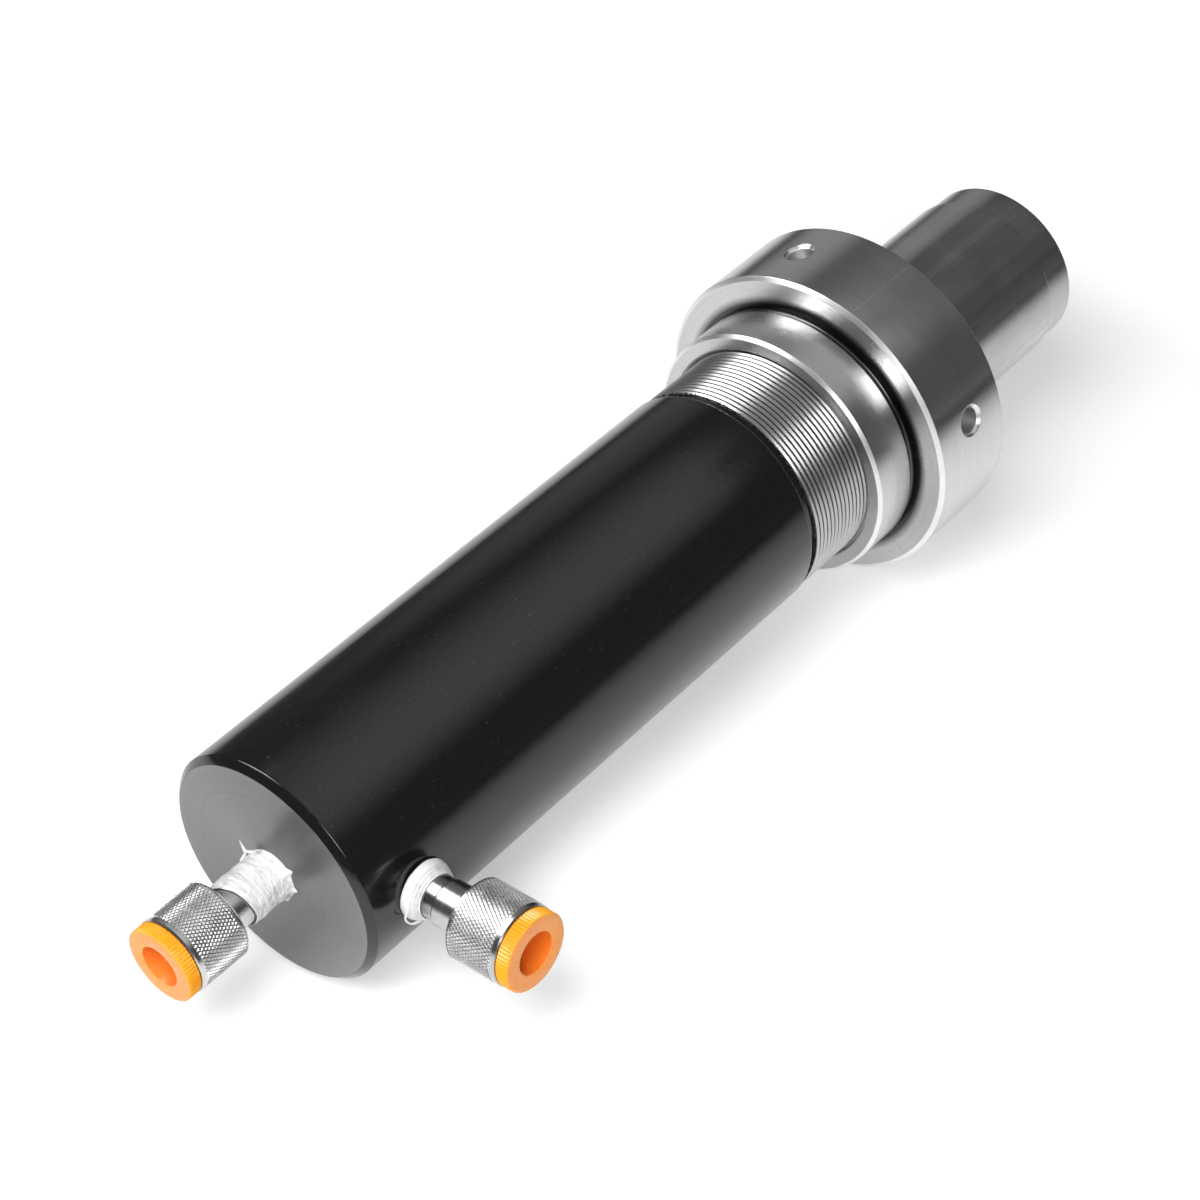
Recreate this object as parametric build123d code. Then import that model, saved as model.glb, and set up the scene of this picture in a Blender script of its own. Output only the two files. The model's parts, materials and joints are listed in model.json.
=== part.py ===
from build123d import *
import math
import os

# Double-acting shop press cylinder, drawn lying down: X runs along the axis from the base to the ram,
# Z is up and the side coupler points to -Y. The origin is on the axis in the plane of the collar
# nut's shoulder, the face that bears on the press frame. All sizes are in millimetres.

# Clearances
running_gap = 0.1        # radial gap of a piece that slides or turns on another
seal_gap = 0.05          # radial gap left at a seal lip, which the real lip closes
thread_gap = 0.05        # radial gap between two plain cylinders that stand for a thread
static_gap = 0.05        # radial gap of a fixed joint
stop_gap = 1.0           # gap left at each end of the piston's travel

# Barrel
barrel_od = 80.0
barrel_wall = 7.0
base_to_shoulder = 259.0
paint_end_to_shoulder = 49.0
barrel_thread_step = 0.5
barrel_thread_pitch = 2.0
barrel_thread_depth = 1.2
barrel_thread_flat = 0.3
runout_depth = 0.9
runout_length = 2.4
barrel_past_shoulder = 18.0
barrel_end_chamfer = 1.0
gland_thread_step = 2.0
gland_thread_length = 22.0

# Base cap, with both ports
cap_disc_length = 36.0
cap_length = 58.0
cap_rim_chamfer = 2.2
weld_leg = 4.0
cap_groove_width = 3.6
cap_groove_depth = 3.0
cap_groove_to_end = 4.0
port_depth = 14.0
port_countersink = 0.6
centre_passage_d = 8.0
side_port_to_base = 21.5
side_passage_d = 7.0
side_passage_from_bore = 11.0

# Feed tube, from the centre port into the hollow ram
tube_od = 14.0
tube_wall = 3.0
tube_seat_depth = 15.0
tube_seal_overlap = 12.0

# Ram
rod_to_bore = 1.5
rod_past_shoulder = 118.0
nose_length = 13.5
nose_step = 0.9
nose_chamfer = 1.0
rod_edge_radius = 1.2
rod_bore_d = 18.0
rod_spigot_d = 40.0
rod_bore_spare = 8.0
nose_thread_d = 17.4
nose_thread_depth = 32.0
nose_countersink = 1.4
cross_hole_d = 6.0
cross_hole_to_piston = 6.0
cross_hole_count = 4
extend_travel = 80.0
retract_travel = 70.0

# Piston and what it carries
piston_length = 45.0
piston_edge_chamfer = 1.0
lock_nut_wall = 4.0
lock_nut_length = 12.0
lock_nut_slot = 6.0
lock_nut_slot_depth = 3.0
piston_recess_gap = 1.0
piston_seal_width = 6.0
piston_seal_depth = 4.5
piston_seal_from_front = 20.0
piston_ring_width = 9.7
piston_ring_depth = 2.5
piston_ring_from_front = 5.0
piston_o_ring_from_front = 12.0
static_o_ring_d = 2.6
tube_seal_width = 4.0
tube_seal_depth = 2.4
tube_guide_length = 14.0

# Gland
gland_head_setback = 1.5
gland_head_length = 14.0
gland_front_chamfer = 1.0
gland_relief_to_ring = 1.5
rod_ring_width = 5.5
rod_ring_to_groove = 1.16
rod_ring_depth = 2.0
rod_seal_width = 5.0
rod_seal_depth = 4.0
rod_seal_to_head = 1.6
wiper_width = 4.0
wiper_depth = 2.4
wiper_lip = 1.0
gland_pin_hole_d = 2.6
gland_pin_hole_depth = 5.0
gland_pin_from_edge = 1.8
gland_pin_count = 4
gland_groove_from_head = 1.5
gland_o_ring_d = 1.8

# Collar nut
nut_shoulder_width = 11.0
nut_flange_length = 36.0
nut_flange_chamfer = 1.1
nut_flange_chamfer_radial = 1.5
nut_front_chamfer = 1.0
spigot_wall = 5.1
spigot_length = 20.0
spigot_chamfer = 1.1
relief_width = 3.0
relief_depth = 1.8
relief_fillet = 1.2
nut_mouth_step = 1.35
spanner_hole_d = 9.0
spanner_hole_depth = 12.0
spanner_countersink_d = 11.4
spanner_hole_to_shoulder = 18.5
spanner_hole_count = 4
spanner_hole_azimuth = 14.5

# Screw coupler, measured from the back of its collar outwards
base_collar_to_port = 22.0
side_collar_to_port = 20.0
shank_d = 13.5
shank_length = 14.0
shank_from_collar = 15.0
shank_end_chamfer = 0.8
rear_neck_step = 0.15
front_neck_step = 0.6
neck_groove_from_collar = 10.6
neck_groove_width = 0.5
neck_groove_depth = 0.5
coupler_nose_length = 8.8
coupler_bore_d = 8.8
seat_step = 1.3
seat_cone_start = 4.2
collar_wall = 2.5
collar_length = 18.6
collar_back_chamfer = 1.4
collar_back_wall = 4.0
collar_cavity_gap = 0.7
collar_thread_step = 1.2
collar_thread_length = 9.6
ring_width = 0.9
ring_groove_depth = 0.6
ring_reach = 1.1
ring_gap_angle = 30.0
nose_ring_d = 1.3
nose_ring_to_end = 1.6
retainer_length = 2.0
retainer_hole_d = 3.6
retainer_from_collar = 12.0
poppet_length = 10.8
poppet_travel = 2.5
spring_wire_d = 0.8
spring_side_gap = 0.6
spring_turns = 5.0
plug_flange_step = 0.5
plug_flange_length = 4.5
plug_face_gap = 0.1
plug_edge_radius = 0.5
plug_hole_wall = 3.65
plug_hole_draft = 0.5
plug_wall = 2.0
plug_nose_gap = 0.4
base_tape_length = 18.8
base_tape_thickness = 0.6
side_tape_length = 5.6
side_tape_thickness = 1.9

# Stations along the axis that follow from the sizes above
x_base = -base_to_shoulder
x_disc = x_base + cap_disc_length
x_cap = x_base + cap_length
x_paint = -paint_end_to_shoulder
x_barrel = barrel_past_shoulder
x_gland = x_barrel - gland_thread_length
x_head = x_barrel + gland_head_length
x_ram = rod_past_shoulder
x_step = x_ram - nose_length
x_piston = x_gland - stop_gap - extend_travel
x_piston_back = x_piston - piston_length
x_tube_seal = x_piston_back + tube_guide_length / 2
x_tube = x_tube_seal + extend_travel + tube_seal_overlap
x_rod_bore = x_tube + retract_travel + rod_bore_spare

# Radii that follow: each nested piece takes its size from the one round it
barrel_r = barrel_od / 2
barrel_thread_r = barrel_r - barrel_thread_step
bore_r = barrel_r - barrel_wall
gland_thread_r = bore_r + gland_thread_step
gland_head_r = barrel_thread_r - gland_head_setback
side_passage_radius = bore_r - side_passage_from_bore
rod_r = bore_r - rod_to_bore
nose_r = rod_r - nose_step
rod_spigot_r = rod_spigot_d / 2
lock_nut_r = rod_spigot_r + lock_nut_wall
nut_mouth_r = barrel_thread_r + thread_gap + nut_mouth_step
spigot_r = nut_mouth_r + spigot_wall
nut_r = spigot_r + nut_shoulder_width
shank_r = shank_d / 2
port_r = shank_r + 2 * thread_gap
rear_neck_r = shank_r + rear_neck_step
front_neck_r = rear_neck_r + front_neck_step
coupler_bore_r = coupler_bore_d / 2
seat_r = coupler_bore_r - seat_step
snap_ring_r = front_neck_r + ring_reach
collar_cavity_r = snap_ring_r + collar_cavity_gap
collar_thread_r = collar_cavity_r + collar_thread_step
collar_r = collar_thread_r + collar_wall


def turned(points):
    """A lathe profile of (x, radius) points, revolved about X; a point that repeats is dropped."""
    kept = [p for p, q in zip(points, points[1:] + points[:1]) if math.dist(p, q) > 1e-6]
    return revolve(make_face(Polyline(*kept, close=True)), Axis.X)


def ring(x0, x1, r_in, r_out, edge=0.0):
    """A plain turned ring from x0 to x1, with its outer edges chamfered by edge."""
    return turned([(x0, r_in), (x0, r_out - edge), (x0 + edge, r_out),
                   (x1 - edge, r_out), (x1, r_out - edge), (x1, r_in)])


def bar(x0, x1, r):
    """A plain round bar along X."""
    return Plane((x0, 0, 0), z_dir=(1, 0, 0)) * Cylinder(
        r, x1 - x0, align=(Align.CENTER, Align.CENTER, Align.MIN))


def o_ring(x, r_centre, section_r):
    """A round-section ring about X."""
    circle = Plane.XY * Pos(x, r_centre) * Circle(section_r)
    return revolve(circle, Axis.X)


def radial_hole(x, azimuth, r_bottom, r_top, radius):
    """A round bar along a radius; azimuth is measured from +Z towards +Y."""
    a = math.radians(azimuth)
    out = Vector(0, math.sin(a), math.cos(a))
    start = Vector(x, 0, 0) + out * r_bottom
    return Plane(start, z_dir=out) * Cylinder(
        radius, r_top - r_bottom, align=(Align.CENTER, Align.CENTER, Align.MIN))


def radial_cone(x, azimuth, r_bottom, r_top, radius_bottom, radius_top):
    """A cone along a radius, for drill points and countersinks."""
    a = math.radians(azimuth)
    out = Vector(0, math.sin(a), math.cos(a))
    start = Vector(x, 0, 0) + out * r_bottom
    return Plane(start, z_dir=out) * Cone(
        radius_bottom, radius_top, r_top - r_bottom, align=(Align.CENTER, Align.CENTER, Align.MIN))


# Barrel tube: painted outside, threaded outside for the collar nut and inside for the gland.
# The outer thread's ridges are plain rings; the helix that joins them is left to the looks.
def make_barrel():
    thread_r = barrel_thread_r
    runout_r = thread_r - runout_depth
    gland_r = gland_thread_r + thread_gap
    flank = (barrel_thread_pitch - 2 * barrel_thread_flat) / 2
    root_r = thread_r - barrel_thread_depth
    x_first = x_paint + runout_length + (thread_r - runout_r)
    count = int((x_barrel - barrel_end_chamfer - x_first) / barrel_thread_pitch)
    ridges = []
    for k in range(count):
        x = x_first + k * barrel_thread_pitch
        ridges += [(x, thread_r), (x + barrel_thread_flat, thread_r),
                   (x + barrel_thread_flat + flank, root_r),
                   (x + barrel_thread_pitch - flank, root_r)]
    return turned([
        (x_disc, bore_r),
        (x_disc, barrel_r - weld_leg),
        (x_disc + weld_leg, barrel_r),
        (x_paint - (barrel_r - thread_r), barrel_r),
        (x_paint, thread_r),
        (x_paint, runout_r),
        (x_paint + runout_length, runout_r),
        *ridges,
        (x_first + count * barrel_thread_pitch, thread_r),
        (x_barrel - barrel_end_chamfer, thread_r),
        (x_barrel, thread_r - barrel_end_chamfer),
        (x_barrel, gland_r + barrel_end_chamfer / 2),
        (x_barrel - barrel_end_chamfer / 2, gland_r),
        (x_gland, gland_r),
        (x_gland, bore_r),
    ])


# Base cap: a full-diameter disc with a spigot into the barrel, drilled for both ports
def make_base_cap():
    spigot_r = bore_r - static_gap
    groove_x1 = x_cap - cap_groove_to_end
    groove_x0 = groove_x1 - cap_groove_width
    groove_r = spigot_r - cap_groove_depth
    sink_r = port_r + port_countersink
    passage_r = centre_passage_d / 2
    tube_seat_r = tube_od / 2 + static_gap
    cap = turned([
        (x_base, sink_r),
        (x_base, barrel_r - cap_rim_chamfer),
        (x_base + cap_rim_chamfer, barrel_r),
        (x_disc - weld_leg, barrel_r),
        (x_disc, barrel_r - weld_leg),
        (x_disc, spigot_r),
        (groove_x0, spigot_r),
        (groove_x0, groove_r),
        (groove_x1, groove_r),
        (groove_x1, spigot_r),
        (x_cap - 1.0, spigot_r),
        (x_cap, spigot_r - 1.0),
        (x_cap, tube_seat_r),
        (x_cap - tube_seat_depth, tube_seat_r),
        (x_cap - tube_seat_depth, passage_r),
        (x_base + port_depth + (port_r - passage_r) / 2, passage_r),
        (x_base + port_depth, port_r),
        (x_base + port_countersink, port_r),
    ])
    x_port = x_base + side_port_to_base
    side_r = side_passage_d / 2
    cap -= radial_hole(x_port, -90, barrel_r - port_depth, barrel_r + 1, port_r)
    cap -= radial_hole(x_port, -90, side_passage_radius - side_r, barrel_r, side_r)
    drill = Pos(0, -side_passage_radius, 0) * bar(x_port, x_cap + 1, side_r)
    return cap - drill


# Weld that fills the groove between cap and barrel, dressed flush and painted over
def make_weld_ring():
    return turned([(x_disc - weld_leg, barrel_r), (x_disc + weld_leg, barrel_r),
                   (x_disc, barrel_r - weld_leg)])


def make_cap_o_ring():
    section = cap_groove_width / 2 - 0.35
    centre = bore_r - static_gap - section
    return o_ring(x_cap - cap_groove_to_end - cap_groove_width / 2, centre, section)


def make_feed_tube():
    return ring(x_cap - tube_seat_depth, x_tube, tube_od / 2 - tube_wall, tube_od / 2, 0.8)


# Gland: screwed into the barrel's mouth, it guides and seals the ram
def make_gland():
    inner = rod_r + running_gap
    thread_r = gland_thread_r
    head_r = gland_head_r
    relief_r = bore_r
    ring_r = inner + rod_ring_depth
    seal_x0 = x_barrel + rod_seal_to_head
    seal_x1 = seal_x0 + rod_seal_width
    seal_r = inner + rod_seal_depth
    wiper_x0 = x_head - wiper_width
    wiper_r = inner + wiper_depth
    undercut = gland_o_ring_d * 0.85
    groove_x1 = x_barrel - gland_groove_from_head
    groove_x0 = groove_x1 - gland_o_ring_d * 1.3
    ring_x1 = groove_x0 - rod_ring_to_groove
    ring_x0 = ring_x1 - rod_ring_width
    relief_x = ring_x0 - gland_relief_to_ring
    gland = turned([
        (x_gland, relief_r),
        (x_gland, thread_r - 1.0),
        (x_gland + 1.0, thread_r),
        (groove_x0, thread_r),
        (groove_x0, thread_r - undercut),
        (groove_x1, thread_r - undercut),
        (groove_x1, thread_r),
        (x_barrel, thread_r),
        (x_barrel, head_r),
        (x_head - gland_front_chamfer, head_r),
        (x_head, head_r - gland_front_chamfer),
        (x_head, wiper_r),
        (wiper_x0, wiper_r),
        (wiper_x0, inner),
        (seal_x1, inner),
        (seal_x1, seal_r),
        (seal_x0, seal_r),
        (seal_x0, inner),
        (ring_x1, inner),
        (ring_x1, ring_r),
        (ring_x0, ring_r),
        (ring_x0, inner),
        (relief_x, inner),
        (relief_x, relief_r),
    ])
    hole_r = gland_pin_hole_d / 2
    for k in range(gland_pin_count):
        a = math.radians(45 + 360 * k / gland_pin_count)
        reach = head_r - gland_pin_from_edge
        hole = bar(x_head - gland_pin_hole_depth, x_head + 1, hole_r)
        gland -= Pos(0, reach * math.sin(a), reach * math.cos(a)) * hole
    return gland


def make_gland_o_ring():
    section = gland_o_ring_d * 0.4
    x = x_barrel - gland_groove_from_head - gland_o_ring_d * 0.65
    return o_ring(x, gland_thread_r - section, section)


# Rod seal: a U-cup that opens towards the oil
def make_rod_seal():
    inner = rod_r + seal_gap
    outer = rod_r + running_gap + rod_seal_depth - static_gap
    x0 = x_barrel + rod_seal_to_head + static_gap
    x1 = x0 + rod_seal_width - 2 * static_gap
    mid = (inner + outer) / 2
    third = (outer - inner) / 5
    return turned([(x0, inner), (x0, mid - third), (x0 + rod_seal_width * 0.4, mid),
                   (x0, mid + third), (x0, outer), (x1, outer), (x1, inner)])


def make_rod_wear_ring():
    groove_x0 = x_barrel - gland_groove_from_head - gland_o_ring_d * 1.3
    x1 = groove_x0 - rod_ring_to_groove - static_gap
    x0 = x1 - rod_ring_width + 2 * static_gap
    outer = rod_r + running_gap + rod_ring_depth - static_gap
    return ring(x0, x1, rod_r + seal_gap, outer)


def make_rod_wiper():
    outer = rod_r + running_gap + wiper_depth - static_gap
    inner = rod_r + seal_gap
    x0 = x_head - wiper_width + static_gap
    return turned([
        (x0, inner + 0.6), (x0, outer), (x_head, outer), (x_head, inner + 1.4),
        (x_head + wiper_lip, inner + 0.5), (x_head + wiper_lip, inner), (x_head - 1.0, inner)])


# Ram: hollow from the rear for the oil of the return stroke, with a reduced, tapped nose
def make_piston_rod():
    bore = rod_bore_d / 2
    guide = tube_od / 2 + running_gap
    seal_r = guide + tube_seal_depth
    seal_x0 = x_tube_seal - tube_seal_width / 2
    seal_x1 = x_tube_seal + tube_seal_width / 2
    x_end = x_piston_back + 1.0
    thread_r = nose_thread_d / 2
    x_hole = x_ram - nose_thread_depth
    rod = turned([
        (x_end, guide),
        (x_end, rod_spigot_r - 1.0),
        (x_end + 1.0, rod_spigot_r),
        (x_piston, rod_spigot_r),
        (x_piston, rod_r - 0.5),
        (x_piston + 0.5, rod_r),
        (x_step - rod_edge_radius, rod_r),
        (x_step, rod_r),
        (x_step, nose_r),
        (x_ram - nose_chamfer, nose_r),
        (x_ram, nose_r - nose_chamfer),
        (x_ram, thread_r + nose_countersink),
        (x_ram - nose_countersink, thread_r),
        (x_hole, thread_r),
        (x_hole - thread_r * 0.6, 0),
        (x_rod_bore + bore * 0.6, 0),
        (x_rod_bore, bore),
        (x_piston_back + tube_guide_length, bore),
        (x_piston_back + tube_guide_length, guide),
        (seal_x1, guide),
        (seal_x1, seal_r),
        (seal_x0, seal_r),
        (seal_x0, guide),
    ])
    edges = [e for e in rod.edges().filter_by(GeomType.CIRCLE)
             if abs(e.radius - rod_r) < 1e-4 and abs(e.arc_center.X - x_step) < 1e-4]
    rod = fillet(edges, min(rod_edge_radius, (rod_r - nose_r) * 0.98))
    for k in range(cross_hole_count):
        turn = 360 * k / cross_hole_count + 45
        rod -= radial_hole(x_piston + cross_hole_to_piston, turn, 0, rod_r + 1, cross_hole_d / 2)
    return rod


# Piston: clamped against the ram's shoulder by the slotted lock nut
def make_piston():
    outer = bore_r - running_gap
    inner = rod_spigot_r + static_gap
    recess = lock_nut_r + piston_recess_gap
    ring_x1 = x_piston - piston_ring_from_front
    ring_x0 = ring_x1 - piston_ring_width
    seal_x1 = x_piston - piston_seal_from_front
    seal_x0 = seal_x1 - piston_seal_width
    o_x1 = x_piston - piston_o_ring_from_front
    o_x0 = o_x1 - static_o_ring_d * 1.3
    depth = static_o_ring_d * 0.8
    edge = piston_edge_chamfer
    recess_x = x_piston_back + 1.0 + lock_nut_length
    return turned([
        (x_piston_back, recess),
        (x_piston_back, outer - edge),
        (x_piston_back + edge, outer),
        (seal_x0, outer),
        (seal_x0, outer - piston_seal_depth),
        (seal_x1, outer - piston_seal_depth),
        (seal_x1, outer),
        (ring_x0, outer),
        (ring_x0, outer - piston_ring_depth),
        (ring_x1, outer - piston_ring_depth),
        (ring_x1, outer),
        (x_piston - edge, outer),
        (x_piston, outer - edge),
        (x_piston, inner),
        (o_x1, inner),
        (o_x1, inner + depth),
        (o_x0, inner + depth),
        (o_x0, inner),
        (recess_x, inner),
        (recess_x, recess),
    ])


# Piston seal: a filled band with two narrow back-up steps
def make_piston_seal():
    outer = bore_r - seal_gap
    floor = bore_r - running_gap - piston_seal_depth + static_gap
    x1 = x_piston - piston_seal_from_front - static_gap
    x0 = x1 - piston_seal_width + 2 * static_gap
    step = piston_seal_width / 4
    low = outer - 0.6
    return turned([(x0, floor), (x0, low), (x0 + step, low), (x0 + step, outer),
                   (x1 - step, outer), (x1 - step, low), (x1, low), (x1, floor)])


def make_piston_wear_ring():
    x1 = x_piston - piston_ring_from_front - static_gap
    floor = bore_r - running_gap - piston_ring_depth + static_gap
    return ring(x1 - piston_ring_width + 2 * static_gap, x1, floor, bore_r - seal_gap)


def make_piston_o_ring():
    section = static_o_ring_d * 0.4
    x = x_piston - piston_o_ring_from_front - static_o_ring_d * 0.65
    return o_ring(x, rod_spigot_r + static_gap + section, section)


def make_tube_seal():
    inner = tube_od / 2 + seal_gap
    outer = tube_od / 2 + running_gap + tube_seal_depth - static_gap
    half = tube_seal_width / 2 - static_gap
    return ring(x_tube_seal - half, x_tube_seal + half, inner, outer)


def make_piston_lock_nut():
    x0 = x_piston_back + 1.0
    outer = lock_nut_r
    nut = ring(x0, x0 + lock_nut_length, rod_spigot_r + static_gap, outer, 0.8)
    for k in range(4):
        slot = Box(lock_nut_length * 3, lock_nut_slot, lock_nut_slot_depth * 2)
        nut -= Rot(90 * k, 0, 0) * Pos(x0, 0, outer) * slot
    return nut


# Collar nut: spigot and shoulder locate it in the press frame, four blind holes take a pin spanner
def make_ring_nut():
    inner = barrel_thread_r + thread_gap
    mouth = nut_mouth_r
    flange_r = nut_r
    floor = spigot_r - relief_depth
    front = nut_flange_length
    nut = turned([
        (-spigot_length, mouth),
        (-spigot_length, spigot_r - spigot_chamfer),
        (-spigot_length + spigot_chamfer, spigot_r),
        (-relief_width, spigot_r),
        (-relief_width, floor),
        (0, floor),
        (0, flange_r - nut_flange_chamfer_radial),
        (nut_flange_chamfer, flange_r),
        (front - nut_front_chamfer, flange_r),
        (front, flange_r - nut_front_chamfer),
        (front, mouth),
        (front - (mouth - inner), inner),
        (-spigot_length + (mouth - inner), inner),
    ])
    corner = [e for e in nut.edges().filter_by(GeomType.CIRCLE)
              if abs(e.radius - floor) < 1e-4]
    nut = fillet(corner, min(relief_fillet, relief_width * 0.45))
    hole_r = spanner_hole_d / 2
    sink = (spanner_countersink_d - spanner_hole_d) / 2
    bottom = flange_r - spanner_hole_depth
    for k in range(spanner_hole_count):
        turn = spanner_hole_azimuth + 360 * k / spanner_hole_count
        x = spanner_hole_to_shoulder
        nut -= radial_hole(x, turn, bottom, flange_r + 1, hole_r)
        nut -= radial_cone(x, turn, bottom - hole_r * 0.6, bottom, 0, hole_r)
        nut -= radial_cone(x, turn, flange_r - sink, flange_r + 0.5, hole_r, hole_r + sink + 0.5)
    return nut


# The coupler's pieces are drawn along +X from the back of the collar and then placed on their port
def make_coupler_body():
    x_end = -shank_from_collar - shank_length
    rear_r = rear_neck_r
    front_r = front_neck_r
    bore = coupler_bore_r
    seat = seat_r
    g0 = -neck_groove_from_collar
    g1 = g0 + neck_groove_width
    ring_x0 = collar_back_wall + 0.3
    ring_x1 = ring_x0 + ring_width + 2 * static_gap
    nose = coupler_nose_length
    o_x1 = nose - nose_ring_to_end + nose_ring_d / 2 + 0.1
    o_x0 = o_x1 - nose_ring_d - 0.2
    return turned([
        (x_end, bore),
        (x_end, shank_r - shank_end_chamfer),
        (x_end + shank_end_chamfer, shank_r),
        (-shank_from_collar, shank_r),
        (-shank_from_collar, rear_r),
        (g0, rear_r),
        (g0, rear_r - neck_groove_depth),
        (g1, rear_r - neck_groove_depth),
        (g1, front_r - 0.3),
        (g1 + 0.3, front_r),
        (ring_x0, front_r),
        (ring_x0, front_r - ring_groove_depth),
        (ring_x1, front_r - ring_groove_depth),
        (ring_x1, front_r),
        (o_x0, front_r),
        (o_x0, front_r - nose_ring_d * 0.9),
        (o_x1, front_r - nose_ring_d * 0.9),
        (o_x1, front_r),
        (nose - 0.2, front_r),
        (nose, front_r - 0.2),
        (nose, seat),
        (seat_cone_start + (bore - seat), seat),
        (seat_cone_start, bore),
    ])


def make_collar():
    outer = collar_r
    cavity = collar_cavity_r
    thread = collar_thread_r
    x_thread = collar_length - collar_thread_length
    return turned([
        (0, front_neck_r + running_gap),
        (0, outer - collar_back_chamfer),
        (collar_back_chamfer, outer),
        (collar_length - 0.4, outer),
        (collar_length, outer - 0.4),
        (collar_length, thread + 0.5),
        (collar_length - 0.5, thread),
        (x_thread, thread),
        (x_thread, cavity),
        (collar_back_wall, cavity),
        (collar_back_wall, front_neck_r + running_gap),
    ])


# Snap ring: holds the collar on the neck and is open by a small gap
def make_snap_ring():
    x0 = collar_back_wall + 0.3 + static_gap
    inner = front_neck_r - ring_groove_depth + static_gap
    outer = snap_ring_r
    face = make_face(Polyline((x0, inner), (x0, outer), (x0 + ring_width, outer),
                              (x0 + ring_width, inner), close=True))
    return revolve(face, Axis.X, 360 - ring_gap_angle)


def make_nose_o_ring():
    section = nose_ring_d / 2
    return o_ring(coupler_nose_length - nose_ring_to_end, front_neck_r - section * 0.75, section)


def make_spring_retainer():
    x0 = -retainer_from_collar
    outer = coupler_bore_r - static_gap
    return ring(x0, x0 + retainer_length, retainer_hole_d / 2, outer, 0.2)


def make_poppet():
    guide = coupler_bore_r - running_gap
    tip = seat_r - running_gap
    x1 = coupler_nose_length
    x0 = x1 - poppet_length
    cone = seat_cone_start - running_gap
    return turned([(x0, 0), (x0, guide), (cone, guide), (cone + guide - tip, tip),
                   (x1 - 0.2, tip), (x1, tip - 0.2), (x1, 0)])


def make_valve_spring():
    wire = spring_wire_d / 2
    x0 = -retainer_from_collar + retainer_length + wire + 0.02
    x1 = coupler_nose_length - poppet_length - wire - 0.02
    length = x1 - x0
    path = Helix(length / spring_turns, length, coupler_bore_r - spring_side_gap - wire)
    section = Plane(path @ 0, z_dir=path % 0) * Circle(wire)
    coil = sweep(section, path=path)
    return Plane((x0, 0, 0), z_dir=(1, 0, 0)) * coil


# Dust plug: screws into the collar's inner thread, hollow from the front
def make_dust_plug():
    stem = collar_thread_r - thread_gap
    flange = collar_r - plug_flange_step
    x0 = coupler_nose_length + plug_nose_gap
    x1 = collar_length + plug_face_gap
    x2 = x1 + plug_flange_length
    hole = stem - plug_hole_wall
    floor = x0 + plug_wall
    edge = plug_edge_radius
    return turned([
        (x0, 0), (x0, stem - 0.8), (x0 + 0.8, stem), (x1, stem),
        (x1, flange - edge), (x1 + edge, flange), (x2 - edge, flange), (x2, flange - edge),
        (x2, hole), (floor, hole - plug_hole_draft), (floor, 0),
    ])


# Sealing tape round the shank where it leaves the port
def make_tape(collar_to_port, length, thickness, neck_r):
    x0 = -collar_to_port
    return ring(x0, x0 + length, neck_r + static_gap, neck_r + thickness, 0.3)


def coupler(collar_to_port, tape_length, tape_thickness, tape_neck_r):
    """All the pieces of one coupler, along +X from the back of its collar."""
    return {
        "coupler_body": make_coupler_body(),
        "collar": make_collar(),
        "snap_ring": make_snap_ring(),
        "nose_o_ring": make_nose_o_ring(),
        "spring_retainer": make_spring_retainer(),
        "poppet": make_poppet(),
        "valve_spring": make_valve_spring(),
        "dust_plug": make_dust_plug(),
        "thread_tape": make_tape(collar_to_port, tape_length, tape_thickness, tape_neck_r),
    }


def build():
    parts = {
        "barrel": make_barrel(),
        "base_cap": make_base_cap(),
        "weld_ring": make_weld_ring(),
        "cap_o_ring": make_cap_o_ring(),
        "feed_tube": make_feed_tube(),
        "gland": make_gland(),
        "gland_o_ring": make_gland_o_ring(),
        "rod_seal": make_rod_seal(),
        "rod_wear_ring": make_rod_wear_ring(),
        "rod_wiper": make_rod_wiper(),
        "piston_rod": make_piston_rod(),
        "piston": make_piston(),
        "piston_seal": make_piston_seal(),
        "piston_wear_ring": make_piston_wear_ring(),
        "piston_o_ring": make_piston_o_ring(),
        "tube_seal": make_tube_seal(),
        "piston_lock_nut": make_piston_lock_nut(),
        "ring_nut": make_ring_nut(),
    }
    base_place = Plane((x_base - base_collar_to_port, 0, 0), x_dir=(-1, 0, 0), z_dir=(0, 0, 1))
    side_origin = (x_base + side_port_to_base, -barrel_r - side_collar_to_port, 0)
    side_place = Plane(side_origin, x_dir=(0, -1, 0), z_dir=(0, 0, 1))
    base = coupler(base_collar_to_port, base_tape_length, base_tape_thickness, front_neck_r)
    side = coupler(side_collar_to_port, side_tape_length, side_tape_thickness, rear_neck_r)
    for name, piece in base.items():
        parts["base_" + name] = base_place * piece
    for name, piece in side.items():
        parts["side_" + name] = side_place * piece
    return parts


os.makedirs("parts", exist_ok=True)
for node, piece in build().items():
    solids = piece.solids()
    shape = solids[0] if len(solids) == 1 else Compound(children=list(solids))
    print(node, len(solids), round(sum(s.volume for s in solids)))
    export_step(shape, "parts/" + node + ".step")
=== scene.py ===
# Looks of a shop press cylinder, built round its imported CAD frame. Metres, X runs from base to ram.
import json
import math

import bmesh
import bpy
from mathutils import Matrix, Vector, noise

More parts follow.
